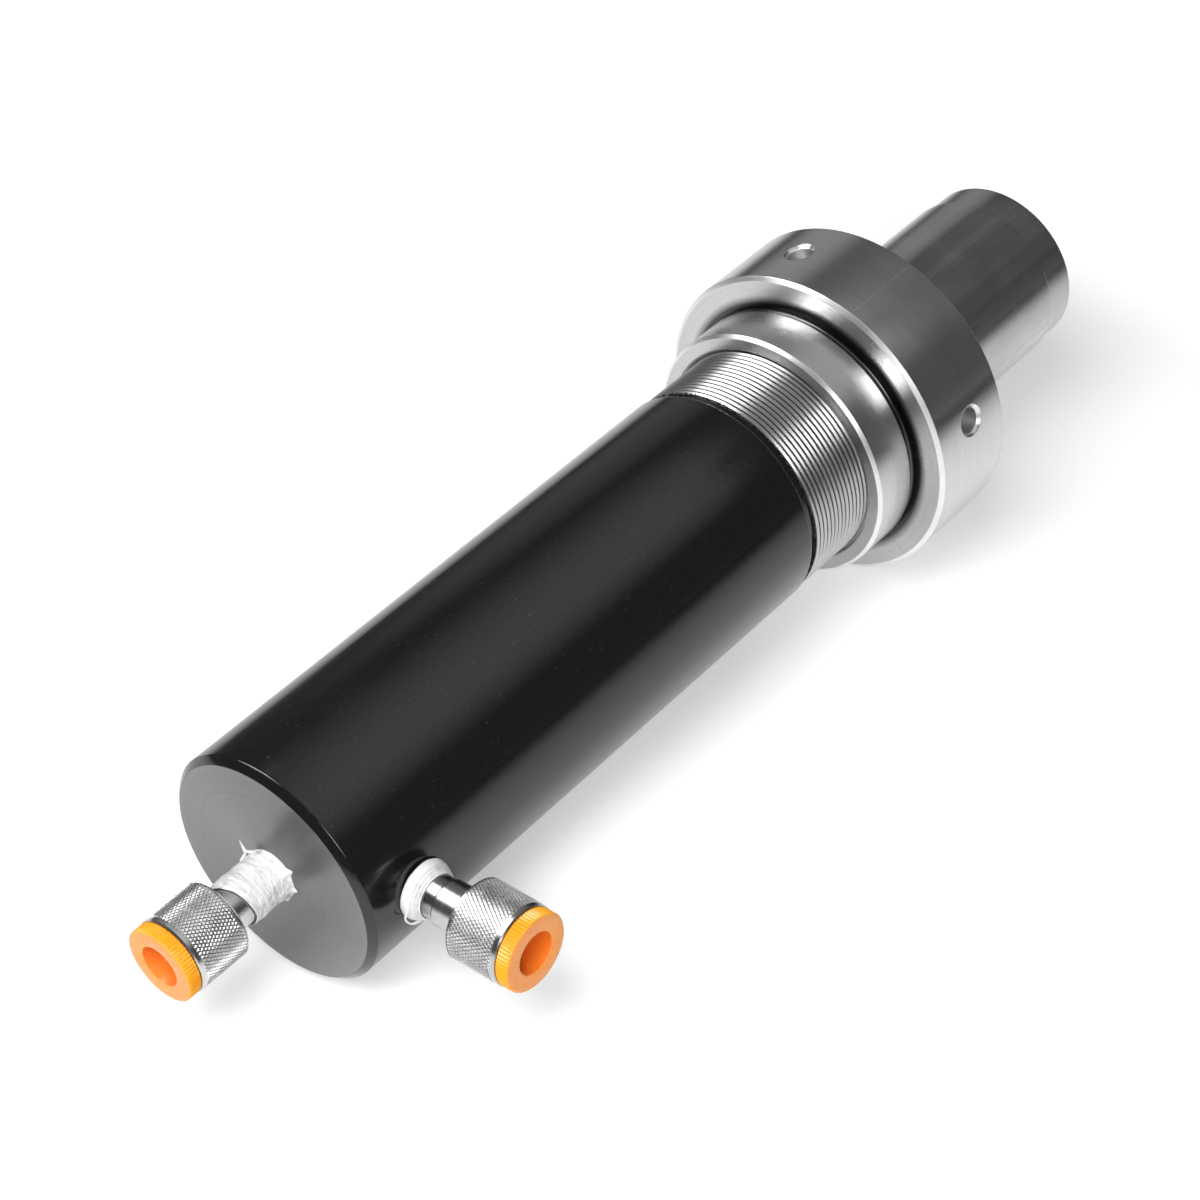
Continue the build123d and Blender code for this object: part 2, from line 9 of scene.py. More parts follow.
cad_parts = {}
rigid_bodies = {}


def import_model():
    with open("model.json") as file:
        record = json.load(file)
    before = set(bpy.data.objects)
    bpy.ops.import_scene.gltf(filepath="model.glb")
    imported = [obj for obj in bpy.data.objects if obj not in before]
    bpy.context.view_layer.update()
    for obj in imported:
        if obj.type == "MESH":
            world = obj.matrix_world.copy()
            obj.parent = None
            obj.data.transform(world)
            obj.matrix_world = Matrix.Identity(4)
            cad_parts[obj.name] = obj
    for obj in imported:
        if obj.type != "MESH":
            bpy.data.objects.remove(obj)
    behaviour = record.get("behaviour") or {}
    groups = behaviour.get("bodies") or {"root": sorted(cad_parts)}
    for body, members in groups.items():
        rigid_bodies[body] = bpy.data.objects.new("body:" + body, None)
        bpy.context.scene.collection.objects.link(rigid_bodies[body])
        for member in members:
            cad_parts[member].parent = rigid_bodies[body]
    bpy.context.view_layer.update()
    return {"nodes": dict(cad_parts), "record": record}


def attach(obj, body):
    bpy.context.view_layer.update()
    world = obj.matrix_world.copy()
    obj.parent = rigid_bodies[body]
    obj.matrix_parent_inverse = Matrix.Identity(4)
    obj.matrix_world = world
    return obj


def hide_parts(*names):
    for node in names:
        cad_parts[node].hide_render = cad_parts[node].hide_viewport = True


for leftover in list(bpy.data.objects):
    bpy.data.objects.remove(leftover)
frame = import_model()
mm = 0.001
mmPerMetre = 1000.0
fullTurn = 2 * math.pi
weldDistance = 2e-6

barrelSizes = {
    "baseX": -259.0,
    "radius": 40.0,
    "rimChamfer": 2.2,
    "capInnerX": -201.0,
    "boreRadius": 33.0,
    "paintEndX": -49.0,
    "runoutRadius": 38.6,
    "runoutEndX": -46.6,
    "threadRadius": 39.5,
    "threadRoot": 38.3,
    "threadPitch": 2.0,
    "endX": 18.0,
    "glandThreadX": -4.0,
    "glandThreadRadius": 35.05,
    "edgeRadius": 0.35,
    "mouthChamfer": 0.5,
    "endChamfer": 0.3,
    "threadInset": 0.4,
    "threadGap": 0.2,
    "coreDrop": 0.05,
    "paintTaper": 2.4,
    "steps": 256,
    "threadSteps": 128,
}
couplerSizes = {
    "baseCollarX": -281.0,
    "sideX": -237.5,
    "sideCollarY": -60.0,
    "radius": 13.0,
    "length": 18.6,
    "backChamfer": 0.7,
    "knurlStart": 0.9,
    "knurlEnd": 17.0,
    "knurlsAround": 66,
    "knurlDepth": 0.42,
    "threadRadius": 10.5,
    "threadStart": 9.0,
    "cavityRadius": 9.3,
    "backWall": 4.0,
    "neckRadius": 7.6,
    "threadClearance": 0.65,
    "threadPitch": 1.5,
    "threadSteps": 64,
    "lipDrop": 0.12,
    "frontChamfer": 0.4,
    "frontDrop": 0.5,
    "mouthDrop": 0.3,
    "knurlSeat": 0.3,
    "steps": 144,
}


# Shader helpers
def addNode(tree, kind, **settings):
    node = tree.nodes.new(kind)
    for key, value in settings.items():
        setattr(node, key, value)
    return node


def startGroup(name, inputs, outputs):
    group = bpy.data.node_groups.new(name, "ShaderNodeTree")
    for label, kind, value in inputs:
        socket = group.interface.new_socket(label, in_out="INPUT", socket_type=kind)
        if value is not None:
            socket.default_value = value
    for label, kind in outputs:
        group.interface.new_socket(label, in_out="OUTPUT", socket_type=kind)
    return group, group.nodes.new("NodeGroupInput"), group.nodes.new("NodeGroupOutput")


def mathNode(tree, operation, first, second=None, third=None):
    node = addNode(tree, "ShaderNodeMath", operation=operation)
    for index, value in enumerate((first, second, third)):
        if value is None:
            continue
        if isinstance(value, (int, float)):
            node.inputs[index].default_value = value
        else:
            tree.links.new(value, node.inputs[index])
    return node.outputs[0]


def times(tree, first, second):
    return mathNode(tree, "MULTIPLY", first, second)


# Two values added by share: the second takes what the first leaves
def weighted(tree, first, share, second):
    return mathNode(tree, "ADD", times(tree, first, share), times(tree, second, 1.0 - share))


def spread(tree, value, low, high, fromLow=0.3, fromHigh=0.7, smooth=False):
    node = addNode(tree, "ShaderNodeMapRange", interpolation_type="SMOOTHSTEP" if smooth else "LINEAR")
    node.inputs["From Min"].default_value = fromLow
    node.inputs["From Max"].default_value = fromHigh
    node.inputs["To Min"].default_value = low
    node.inputs["To Max"].default_value = high
    tree.links.new(value, node.inputs["Value"])
    return node.outputs[0]


def noiseNode(tree, vector, scale, detail, distortion=0.0):
    node = addNode(tree, "ShaderNodeTexNoise")
    node.inputs["Scale"].default_value = scale
    node.inputs["Detail"].default_value = detail
    node.inputs["Distortion"].default_value = distortion
    tree.links.new(vector, node.inputs["Vector"])
    return node.outputs["Fac"]


def axisDistance(tree, split):
    across = times(tree, split.outputs[1], split.outputs[1])
    upward = times(tree, split.outputs[2], split.outputs[2])
    return mathNode(tree, "SQRT", mathNode(tree, "ADD", across, upward))


# Lathe marks: fine rings about the X axis, on cylinders and on end faces alike
def makeTurningGroup():
    lengthShare = 0.83
    smallestRadius = 0.0005
    group, start, end = startGroup(
        "turningMarks",
        [("Vector", "NodeSocketVector", None), ("Rings per mm", "NodeSocketFloat", 4.0),
         ("Wander", "NodeSocketFloat", 0.4)],
        [("Height", "NodeSocketFloat"), ("Tone", "NodeSocketFloat")])
    split = addNode(group, "ShaderNodeSeparateXYZ")
    group.links.new(start.outputs["Vector"], split.inputs[0])
    radius = axisDistance(group, split)
    along = mathNode(group, "ADD", times(group, split.outputs[0], lengthShare), radius)
    joined = addNode(group, "ShaderNodeCombineXYZ")
    rings = times(group, times(group, along, mmPerMetre), start.outputs["Rings per mm"])
    group.links.new(rings, joined.inputs[0])
    safe = mathNode(group, "MAXIMUM", radius, smallestRadius)
    for index in (1, 2):
        share = mathNode(group, "DIVIDE", split.outputs[index], safe)
        group.links.new(times(group, share, start.outputs["Wander"]), joined.inputs[index])
    group.links.new(noiseNode(group, joined.outputs[0], 1.0, 2.0), end.inputs["Height"])
    group.links.new(noiseNode(group, joined.outputs[0], 0.13, 3.0), end.inputs["Tone"])
    return group


# Smudges: soft blotches of handling and oil, with a finer speckle in them
def makeSmudgeGroup():
    group, start, end = startGroup(
        "smudges",
        [("Vector", "NodeSocketVector", None), ("Size mm", "NodeSocketFloat", 20.0)],
        [("Blotch", "NodeSocketFloat"), ("Speckle", "NodeSocketFloat")])
    scaled = addNode(group, "ShaderNodeVectorMath", operation="SCALE")
    group.links.new(start.outputs["Vector"], scaled.inputs[0])
    group.links.new(mathNode(group, "DIVIDE", mmPerMetre, start.outputs["Size mm"]), scaled.inputs["Scale"])
    group.links.new(noiseNode(group, scaled.outputs[0], 1.0, 5.0, 0.6), end.inputs["Blotch"])
    group.links.new(noiseNode(group, scaled.outputs[0], 22.0, 3.0), end.inputs["Speckle"])
    return group


# Draw marks: thin lines along the X axis, as a sliding or dragged steel surface has
def makeDrawnGroup():
    group, start, end = startGroup(
        "drawnLines",
        [("Vector", "NodeSocketVector", None), ("Lines per mm", "NodeSocketFloat", 1.5)],
        [("Line", "NodeSocketFloat"), ("Streak", "NodeSocketFloat")])
    stretched = addNode(group, "ShaderNodeMapping")
    stretched.inputs["Scale"].default_value = (18.0, mmPerMetre, mmPerMetre)
    group.links.new(start.outputs["Vector"], stretched.inputs["Vector"])
    scaled = addNode(group, "ShaderNodeVectorMath", operation="SCALE")
    group.links.new(stretched.outputs[0], scaled.inputs[0])
    group.links.new(start.outputs["Lines per mm"], scaled.inputs["Scale"])
    fine = noiseNode(group, scaled.outputs[0], 1.0, 2.0)
    group.links.new(spread(group, fine, 0.0, 1.0, 0.60, 0.74), end.inputs["Line"])
    group.links.new(noiseNode(group, scaled.outputs[0], 0.16, 3.0), end.inputs["Streak"])
    return group


# How far along the X axis and how far from it a point lies, and its turn from +Z towards +Y
def makeAxisGroup():
    group, start, end = startGroup(
        "axisPlace", [("Vector", "NodeSocketVector", None)],
        [("Along", "NodeSocketFloat"), ("Radius", "NodeSocketFloat"), ("Turn", "NodeSocketFloat")])
    split = addNode(group, "ShaderNodeSeparateXYZ")
    group.links.new(start.outputs["Vector"], split.inputs[0])
    turn = mathNode(group, "ARCTAN2", split.outputs[1], split.outputs[2])
    group.links.new(times(group, split.outputs[0], mmPerMetre), end.inputs["Along"])
    group.links.new(times(group, axisDistance(group, split), mmPerMetre), end.inputs["Radius"])
    group.links.new(times(group, turn, 180.0 / math.pi), end.inputs["Turn"])
    return group


turningMarks = makeTurningGroup()
smudges = makeSmudgeGroup()
drawnLines = makeDrawnGroup()
axisPlace = makeAxisGroup()


def newMaterial(name, sideways=False):
    material = bpy.data.materials.new(name)
    material.use_nodes = True
    tree = material.node_tree
    shader = tree.nodes["Principled BSDF"]
    where = addNode(tree, "ShaderNodeTexCoord").outputs["Object"]
    if sideways:
        turned = addNode(tree, "ShaderNodeMapping")  # brings the side coupler's axis onto X
        turned.inputs["Location"].default_value = (0.0, couplerSizes["sideX"] * mm, 0.0)
        turned.inputs["Rotation"].default_value = (0.0, 0.0, -math.pi / 2)
        tree.links.new(where, turned.inputs["Vector"])
        where = turned.outputs[0]
    return material, tree, shader, where


def placeGroup(tree, group, vector, **values):
    node = addNode(tree, "ShaderNodeGroup", node_tree=group)
    tree.links.new(vector, node.inputs["Vector"])
    for label, value in values.items():
        node.inputs[label.replace("_", " ")].default_value = value
    return node


def grey(value):
    return (value, value, value)


def greyRamp(tree, value, stops):
    node = addNode(tree, "ShaderNodeValToRGB")
    elements = node.color_ramp.elements
    elements[0].position = stops[0][0]
    elements[1].position = stops[-1][0]
    for place, tone in stops[1:-1]:
        elements.new(place)
    for element, (place, tone) in zip(elements, stops):
        element.color = (*grey(tone), 1.0)
    tree.links.new(value, node.inputs[0])
    return node.outputs["Color"]


def feed(tree, shader, colour, rough, metallic=0.0):
    tree.links.new(colour, shader.inputs["Base Color"])
    tree.links.new(rough, shader.inputs["Roughness"])
    shader.inputs["Metallic"].default_value = metallic


def blend(tree, amount, first, second):
    node = addNode(tree, "ShaderNodeMix", data_type="RGBA")
    tree.links.new(amount, node.inputs[0])
    for index, value in ((6, first), (7, second)):
        if isinstance(value, tuple):
            node.inputs[index].default_value = (*value, 1.0)
        else:
            tree.links.new(value, node.inputs[index])
    return node.outputs[2]


def relief(tree, shader, height, strength, distance):
    bump = addNode(tree, "ShaderNodeBump")
    bump.inputs["Strength"].default_value = strength
    bump.inputs["Distance"].default_value = distance
    tree.links.new(height, bump.inputs["Height"])
    tree.links.new(bump.outputs[0], shader.inputs["Normal"])
    return bump


# Brushing round the axis: it draws the fans of light on turned faces
def brushAround(tree, shader, amount, sideways=False):
    around = addNode(tree, "ShaderNodeTangent", direction_type="RADIAL", axis="Y" if sideways else "X")
    tree.links.new(around.outputs[0], shader.inputs["Tangent"])
    shader.inputs["Anisotropic"].default_value = amount
    shader.inputs["Anisotropic Rotation"].default_value = 0.25


# A band of a value: 1 between low and high, falling to 0 over the soft width
def bandMask(tree, value, low, high, soft):
    rise = spread(tree, value, 0.0, 1.0, low - soft, low)
    fall = spread(tree, value, 1.0, 0.0, high, high + soft)
    return times(tree, rise, fall)


# Places on the part that the finishes and the painted light and shade follow: mm along or from its axis, and
# turns in degrees
finishAndPaintedLightPlaces = {
    "threadRoot": (38.9, 39.15),
    "paintBorder": (-45.1, -44.8),
    "nutRim": (56.75, 56.85),
    "nutHoleRadius": (43.0, 56.3),
    "nutHoleAlong": (12.0, 25.5),
    "grooveAlong": (-3.3, 0.05),
    "grooveRadius": (43.0, 50.5),
    "grooveFade": (47.4, 50.2),
    "nutScratchTurn": (-19.75, -19.55),
    "nutScratchAlong": (3.0, 34.0),
    "knurlTip": (12.56, 12.78),
    "baseRim": (-256.6, -255.6),
    "plugFlank": (11.7, 12.1),
    "plugHole": (6.8, 7.0),
    "ramScratchTurn": (-17.3, -17.0),
    "ramScratchAlong": (62.0, 94.0),
    "ramRingLine": (104.35, 104.6),
}


def turnedSteel(name, dark, light, roughness, rings, markDepth, brushed, wander=0.4, sideways=False):
    material, tree, shader, where = newMaterial(name, sideways)
    marks = placeGroup(tree, turningMarks, where, Rings_per_mm=rings, Wander=wander)
    dirt = placeGroup(tree, smudges, where, Size_mm=25.0)
    tone = weighted(tree, marks.outputs["Tone"], 0.65, dirt.outputs["Blotch"])
    rough = weighted(tree, dirt.outputs["Blotch"], 0.6, dirt.outputs["Speckle"])
    feed(tree, shader, blend(tree, spread(tree, tone, 0.0, 1.0), grey(dark), grey(light)),
         spread(tree, rough, roughness * 0.8, roughness * 1.2), 1.0)
    brushAround(tree, shader, brushed, sideways)
    relief(tree, shader, marks.outputs["Height"], 0.5, markDepth)
    return material


# The bare thread, with the barrel's paint ending raggedly on its first turn
def threadMaterial():
    material, tree, shader, where = newMaterial("threadSteel")
    marks = placeGroup(tree, turningMarks, where, Rings_per_mm=6.0, Wander=0.4)
    dirt = placeGroup(tree, smudges, where, Size_mm=22.0)
    place = placeGroup(tree, axisPlace, where)
    steel = blend(tree, spread(tree, marks.outputs["Tone"], 0.0, 1.0), grey(0.44), grey(0.54))
    # The thread's roots are painted dark: painted shade in the grooves
    root = spread(tree, place.outputs["Radius"], 1.0, 0.0, *finishAndPaintedLightPlaces["threadRoot"])
    steel = blend(tree, root, steel, grey(0.26))
    pits = spread(tree, dirt.outputs["Speckle"], 0.0, 0.8, 0.66, 0.74)
    steel = blend(tree, pits, steel, grey(0.2))
    border = mathNode(tree, "MULTIPLY_ADD", dirt.outputs["Speckle"], 2.4, place.outputs["Along"])
    painted = spread(tree, border, 1.0, 0.0, *finishAndPaintedLightPlaces["paintBorder"])
    feed(tree, shader, blend(tree, painted, steel, grey(0.008)),
         spread(tree, dirt.outputs["Blotch"], 0.28, 0.36))
    tree.links.new(spread(tree, painted, 1.0, 0.0, 0.0, 1.0), shader.inputs["Metallic"])
    brushAround(tree, shader, 0.6)
    relief(tree, shader, marks.outputs["Height"], 0.3, 0.00001)
    return material


# Where edges are rubbed bright, with a painted highlight along them too: a rounded normal is set against the
# true one
def edgeWearAndHighlight(tree, radius, speckle):
    rounded = addNode(tree, "ShaderNodeBevel", samples=6)
    rounded.inputs["Radius"].default_value = radius
    flat = addNode(tree, "ShaderNodeNewGeometry")
    match = addNode(tree, "ShaderNodeVectorMath", operation="DOT_PRODUCT")
    tree.links.new(rounded.outputs[0], match.inputs[0])
    tree.links.new(flat.outputs["Normal"], match.inputs[1])
    wornAndHighlit = spread(tree, match.outputs["Value"], 1.0, 0.0, 0.86, 0.99)
    return times(tree, wornAndHighlit, spread(tree, speckle, 0.55, 1.0, 0.3, 0.6)), rounded.outputs[0]


def nutMaterial():
    material, tree, shader, where = newMaterial("nutSteel")
    marks = placeGroup(tree, turningMarks, where, Rings_per_mm=4.0, Wander=0.3)
    dirt = placeGroup(tree, smudges, where, Size_mm=26.0)
    place = placeGroup(tree, axisPlace, where)
    along = place.outputs["Along"]
    radius = place.outputs["Radius"]
    rimSide = spread(tree, radius, 0.0, 1.0, *finishAndPaintedLightPlaces["nutRim"])
    # Inside the spanner holes the steel is painted brighter: painted light in the holes
    hole = times(tree, bandMask(tree, radius, *finishAndPaintedLightPlaces["nutHoleRadius"], 0.2),
                 bandMask(tree, along, *finishAndPaintedLightPlaces["nutHoleAlong"], 0.5))
    wornAndHighlit, rounded = edgeWearAndHighlight(tree, 0.0004, dirt.outputs["Speckle"])
    # Chamfers that face partway along the axis are painted brighter: a painted highlight on them
    split = addNode(tree, "ShaderNodeSeparateXYZ")
    tree.links.new(addNode(tree, "ShaderNodeTexCoord").outputs["Normal"], split.inputs[0])
    slope = mathNode(tree, "ABSOLUTE", split.outputs[0])
    paintedChamferHighlight = times(tree, bandMask(tree, slope, 0.5, 0.9, 0.06),
                    spread(tree, dirt.outputs["Blotch"], 0.75, 1.0, 0.35, 0.6))
    # Painted highlights on chamfers, painted light in the holes and rubbed edges make one brightening
    paintedLightAndWear = mathNode(tree, "MAXIMUM", mathNode(tree, "MAXIMUM", wornAndHighlit, paintedChamferHighlight), times(tree, hole, 0.8))
    tone = weighted(tree, marks.outputs["Tone"], 0.5, dirt.outputs["Blotch"])
    steel = blend(tree, spread(tree, tone, 0.0, 1.0), grey(0.58), grey(0.68))
    # Painted shade: the relief groove and the shoulder's root beside it are darkened where shade falls
    groove = times(tree, bandMask(tree, along, *finishAndPaintedLightPlaces["grooveAlong"], 0.15),
                   spread(tree, radius, 1.0, 0.0, *finishAndPaintedLightPlaces["grooveFade"]))
    groove = times(tree, groove, bandMask(tree, radius, *finishAndPaintedLightPlaces["grooveRadius"], 0.2))
    steel = blend(tree, groove, steel, grey(0.09))
    line = mathNode(tree, "MULTIPLY_ADD", dirt.outputs["Blotch"], 0.5, place.outputs["Turn"])
    scratch = times(tree, bandMask(tree, line, *finishAndPaintedLightPlaces["nutScratchTurn"], 0.15),
                    spread(tree, dirt.outputs["Speckle"], 0.0, 0.5, 0.42, 0.55))
    scratch = times(tree, scratch, bandMask(tree, along, *finishAndPaintedLightPlaces["nutScratchAlong"], 2.0))
    paintedLightAndWear = times(tree, mathNode(tree, "MAXIMUM", paintedLightAndWear, scratch), mathNode(tree, "SUBTRACT", 1.0, groove))
    rough = times(tree, spread(tree, rimSide, 0.26, 0.16, 0.0, 1.0),
                  spread(tree, dirt.outputs["Blotch"], 0.93, 1.1))
    feed(tree, shader, blend(tree, paintedLightAndWear, steel, grey(0.9)),
         mathNode(tree, "MAXIMUM", rough, times(tree, paintedLightAndWear, 0.42)), 1.0)
    brushAround(tree, shader, 0.55)
    height = times(tree, marks.outputs["Height"], spread(tree, rimSide, 1.0, 0.25, 0.0, 1.0))
    bump = relief(tree, shader, height, 0.35, 0.00001)
    tree.links.new(rounded, bump.inputs["Normal"])
    return material


def knurlMaterial(name, sideways=False):
    material, tree, shader, where = newMaterial(name, sideways)
    dirt = placeGroup(tree, smudges, where, Size_mm=5.0)
    place = placeGroup(tree, axisPlace, where)
    # Below the diamonds' tips the knurl is painted nearly black: painted shade in the valleys
    tip = spread(tree, place.outputs["Radius"], 0.0, 1.0, *finishAndPaintedLightPlaces["knurlTip"])
    clean = blend(tree, spread(tree, dirt.outputs["Blotch"], 0.0, 1.0), grey(0.76), grey(0.95))
    feed(tree, shader, blend(tree, tip, grey(0.1), clean),
         spread(tree, dirt.outputs["Speckle"], 0.2, 0.34), 1.0)
    return material


def paintMaterial():
    material, tree, shader, where = newMaterial("blackPaint")
    dirt = placeGroup(tree, smudges, where, Size_mm=30.0)
    speckle = spread(tree, dirt.outputs["Speckle"], 0.0, 1.0, 0.64, 0.8)
    place = placeGroup(tree, axisPlace, where)
    rim = spread(tree, place.outputs["Along"], 0.45, 1.0, *finishAndPaintedLightPlaces["baseRim"])
    feed(tree, shader, blend(tree, speckle, grey(0.006), grey(0.03)),
         times(tree, spread(tree, dirt.outputs["Blotch"], 0.09, 0.17), rim))
    shader.inputs["IOR"].default_value = 1.55
    relief(tree, shader, noiseNode(tree, where, 380.0, 2.0), 0.3, 0.00007)
    return material


def glowThrough(shader, weight, radius, scale):
    shader.inputs["Subsurface Weight"].default_value = weight
    shader.inputs["Subsurface Radius"].default_value = radius
    shader.inputs["Subsurface Scale"].default_value = scale


def orangeMaterial(name, sideways=False):
    material, tree, shader, where = newMaterial(name, sideways)
    dirt = placeGroup(tree, smudges, where, Size_mm=8.0)
    place = placeGroup(tree, axisPlace, where)
    # The ridged flank is painted a yellower orange than the face: painted light on it
    paintedFlankLight = spread(tree, place.outputs["Radius"], 0.0, 1.0, *finishAndPaintedLightPlaces["plugFlank"])
    blotch = spread(tree, dirt.outputs["Blotch"], 0.0, 1.0)
    plain = blend(tree, blotch, (0.97, 0.31, 0.035), (1.0, 0.36, 0.045))
    # Inside the blind hole the plastic is painted a darker red: painted shade
    hole = spread(tree, place.outputs["Radius"], 1.0, 0.0, *finishAndPaintedLightPlaces["plugHole"])
    plain = blend(tree, hole, plain, (0.86, 0.2, 0.02))
    feed(tree, shader, blend(tree, paintedFlankLight, plain, (1.0, 0.4, 0.02)),
         spread(tree, dirt.outputs["Speckle"], 0.22, 0.32))
    glowThrough(shader, 0.15, (1.0, 0.45, 0.1), 0.0015)
    relief(tree, shader, dirt.outputs["Speckle"], 0.15, 0.00004)
    return material


def tapeMaterial(name, sideways=False):
    material, tree, shader, where = newMaterial(name, sideways)
    dirt = placeGroup(tree, smudges, where, Size_mm=4.0)
    wraps = placeGroup(tree, turningMarks, where, Rings_per_mm=2.2, Wander=0.8)
    tone = weighted(tree, wraps.outputs["Tone"], 0.5, dirt.outputs["Blotch"])
    feed(tree, shader, blend(tree, spread(tree, tone, 0.0, 1.0, 0.36, 0.5), grey(0.5), grey(0.8)),
         spread(tree, dirt.outputs["Speckle"], 0.38, 0.55))
    glowThrough(shader, 0.2, (1.0, 1.0, 1.0), 0.0006)
    height = mathNode(tree, "ADD", wraps.outputs["Height"], dirt.outputs["Speckle"])
    relief(tree, shader, height, 0.5, 0.00007)
    return material


def plainMaterial(name, dark, light, roughness):
    material, tree, shader, where = newMaterial(name)
    dirt = placeGroup(tree, smudges, where, Size_mm=6.0)
    feed(tree, shader, blend(tree, spread(tree, dirt.outputs["Blotch"], 0.0, 1.0), dark, light),
         spread(tree, dirt.outputs["Speckle"], roughness * 0.8, roughness * 1.2))
    relief(tree, shader, dirt.outputs["Speckle"], 0.3, 0.00004)
    return material


def ramMaterial():
    material, tree, shader, where = newMaterial("ramSteel")
    lines = placeGroup(tree, drawnLines, where, Lines_per_mm=1.4)
    dirt = placeGroup(tree, smudges, where, Size_mm=22.0)
    marks = placeGroup(tree, turningMarks, where, Rings_per_mm=3.0, Wander=0.5)
    place = placeGroup(tree, axisPlace, where)
    # Rubbed edges on the ram, with a painted highlight along them
    wornAndHighlit, rounded = edgeWearAndHighlight(tree, 0.0003, dirt.outputs["Speckle"])
    tone = weighted(tree, lines.outputs["Streak"], 0.5, dirt.outputs["Blotch"])
    steel = blend(tree, spread(tree, tone, 0.0, 1.0), grey(0.42), grey(0.62))
    scratched = times(tree, lines.outputs["Line"],
                      spread(tree, dirt.outputs["Blotch"], 0.0, 0.6, 0.45, 0.65))
    # One long scratch, and the ring line where the ram's nose begins
    turn = mathNode(tree, "MULTIPLY_ADD", dirt.outputs["Blotch"], 0.8, place.outputs["Turn"])
    scratch = times(tree, bandMask(tree, turn, *finishAndPaintedLightPlaces["ramScratchTurn"], 0.3),
                    bandMask(tree, place.outputs["Along"], *finishAndPaintedLightPlaces["ramScratchAlong"], 3.0))
    ringLine = bandMask(tree, place.outputs["Along"], *finishAndPaintedLightPlaces["ramRingLine"], 0.1)
    paintedLightAndWear = mathNode(tree, "MAXIMUM", mathNode(tree, "MAXIMUM", scratched, wornAndHighlit),
                      times(tree, mathNode(tree, "MAXIMUM", scratch, ringLine), 0.5))
    rough = mathNode(tree, "MAXIMUM", spread(tree, tone, 0.15, 0.27), times(tree, paintedLightAndWear, 0.4))
    feed(tree, shader, blend(tree, paintedLightAndWear, steel, grey(0.85)), rough, 1.0)
    height = mathNode(tree, "ADD", marks.outputs["Height"], lines.outputs["Line"])
    bump = relief(tree, shader, height, 0.3, 0.00002)
    tree.links.new(rounded, bump.inputs["Normal"])
    return material


blackPaint = paintMaterial()
bareFace = turnedSteel("bareFaceSteel", 0.17, 0.23, 0.34, 3.0, 0.00004, 0.75, 0.25)
threadSteel = threadMaterial()
nutSteel = nutMaterial()
fittingSteel = turnedSteel("fittingSteel", 0.5, 0.62, 0.2, 8.0, 0.000008, 0.4)
# The side coupler's steel is a darker copy of the base coupler's: painted shade
fittingSteelSideShaded = turnedSteel("fittingSteelSideShaded", 0.42, 0.54, 0.24, 8.0, 0.000008, 0.4, sideways=True)
knurlSteel = knurlMaterial("knurlSteel")
knurlSteelSide = knurlMaterial("knurlSteelSide", True)
ramSteel = ramMaterial()
orangePlastic = orangeMaterial("orangePlastic")
orangePlasticSide = orangeMaterial("orangePlasticSide", True)
whiteTape = tapeMaterial("whiteTape")
whiteTapeSide = tapeMaterial("whiteTapeSide", True)
sealRubber = plainMaterial("sealRubber", grey(0.012), grey(0.03), 0.5)
guidePlastic = plainMaterial("guidePlastic", (0.05, 0.12, 0.06), (0.08, 0.17, 0.09), 0.4)
print("materials made")


# Mesh helpers
def meshObject(name, bm, materials):
    mesh = bpy.data.meshes.new(name)
    bm.to_mesh(mesh)
    bm.free()
    for material in materials:
        mesh.materials.append(material)
    made = bpy.data.objects.new(name, mesh)
    bpy.context.collection.objects.link(made)
    return made


def finishPiece(name, bm, body, materials, sharpDegrees=32.0, replaced=()):
    bmesh.ops.remove_doubles(bm, verts=bm.verts, dist=weldDistance)
    bmesh.ops.recalc_face_normals(bm, faces=bm.faces)
    piece = meshObject(name, bm, materials)
    piece.data.shade_smooth()
    piece.data.set_sharp_from_angle(angle=math.radians(sharpDegrees))
    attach(piece, body)
    if replaced:
        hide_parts(*replaced)
    return piece


def turnProfile(points, steps, edgeRadius=0.0):
    bm = bmesh.new()
    verts = [bm.verts.new((x * mm, 0.0, r * mm)) for x, r in points]
    for first, second in zip(verts, verts[1:]):
        bm.edges.new((first, second))
    if edgeRadius:
        corners = [v for v in verts if len(v.link_edges) == 2]
        bmesh.ops.bevel(bm, geom=corners, offset=edgeRadius * mm, offset_type="OFFSET", segments=2,
                        profile=0.5, affect="VERTICES", clamp_overlap=True, material=-1)
    bmesh.ops.spin(bm, geom=bm.verts[:] + bm.edges[:], cent=(0, 0, 0), axis=(1, 0, 0),
                   angle=fullTurn, steps=steps, use_merge=True)
    return bm


def growEdges(bm, edges):
    grown = bmesh.ops.extrude_edge_only(bm, edges=edges)["geom"]
    fresh = [g for g in grown if isinstance(g, bmesh.types.BMVert)]
    inFresh = set(fresh)
    return fresh, [g for g in grown if isinstance(g, bmesh.types.BMEdge) and set(g.verts) <= inFresh]


# The open edges that lie across the X axis at x
def rimAt(bm, x, reach):
    return [e for e in bm.edges if e.is_boundary and all(abs(v.co.x - x * mm) < reach for v in e.verts)]


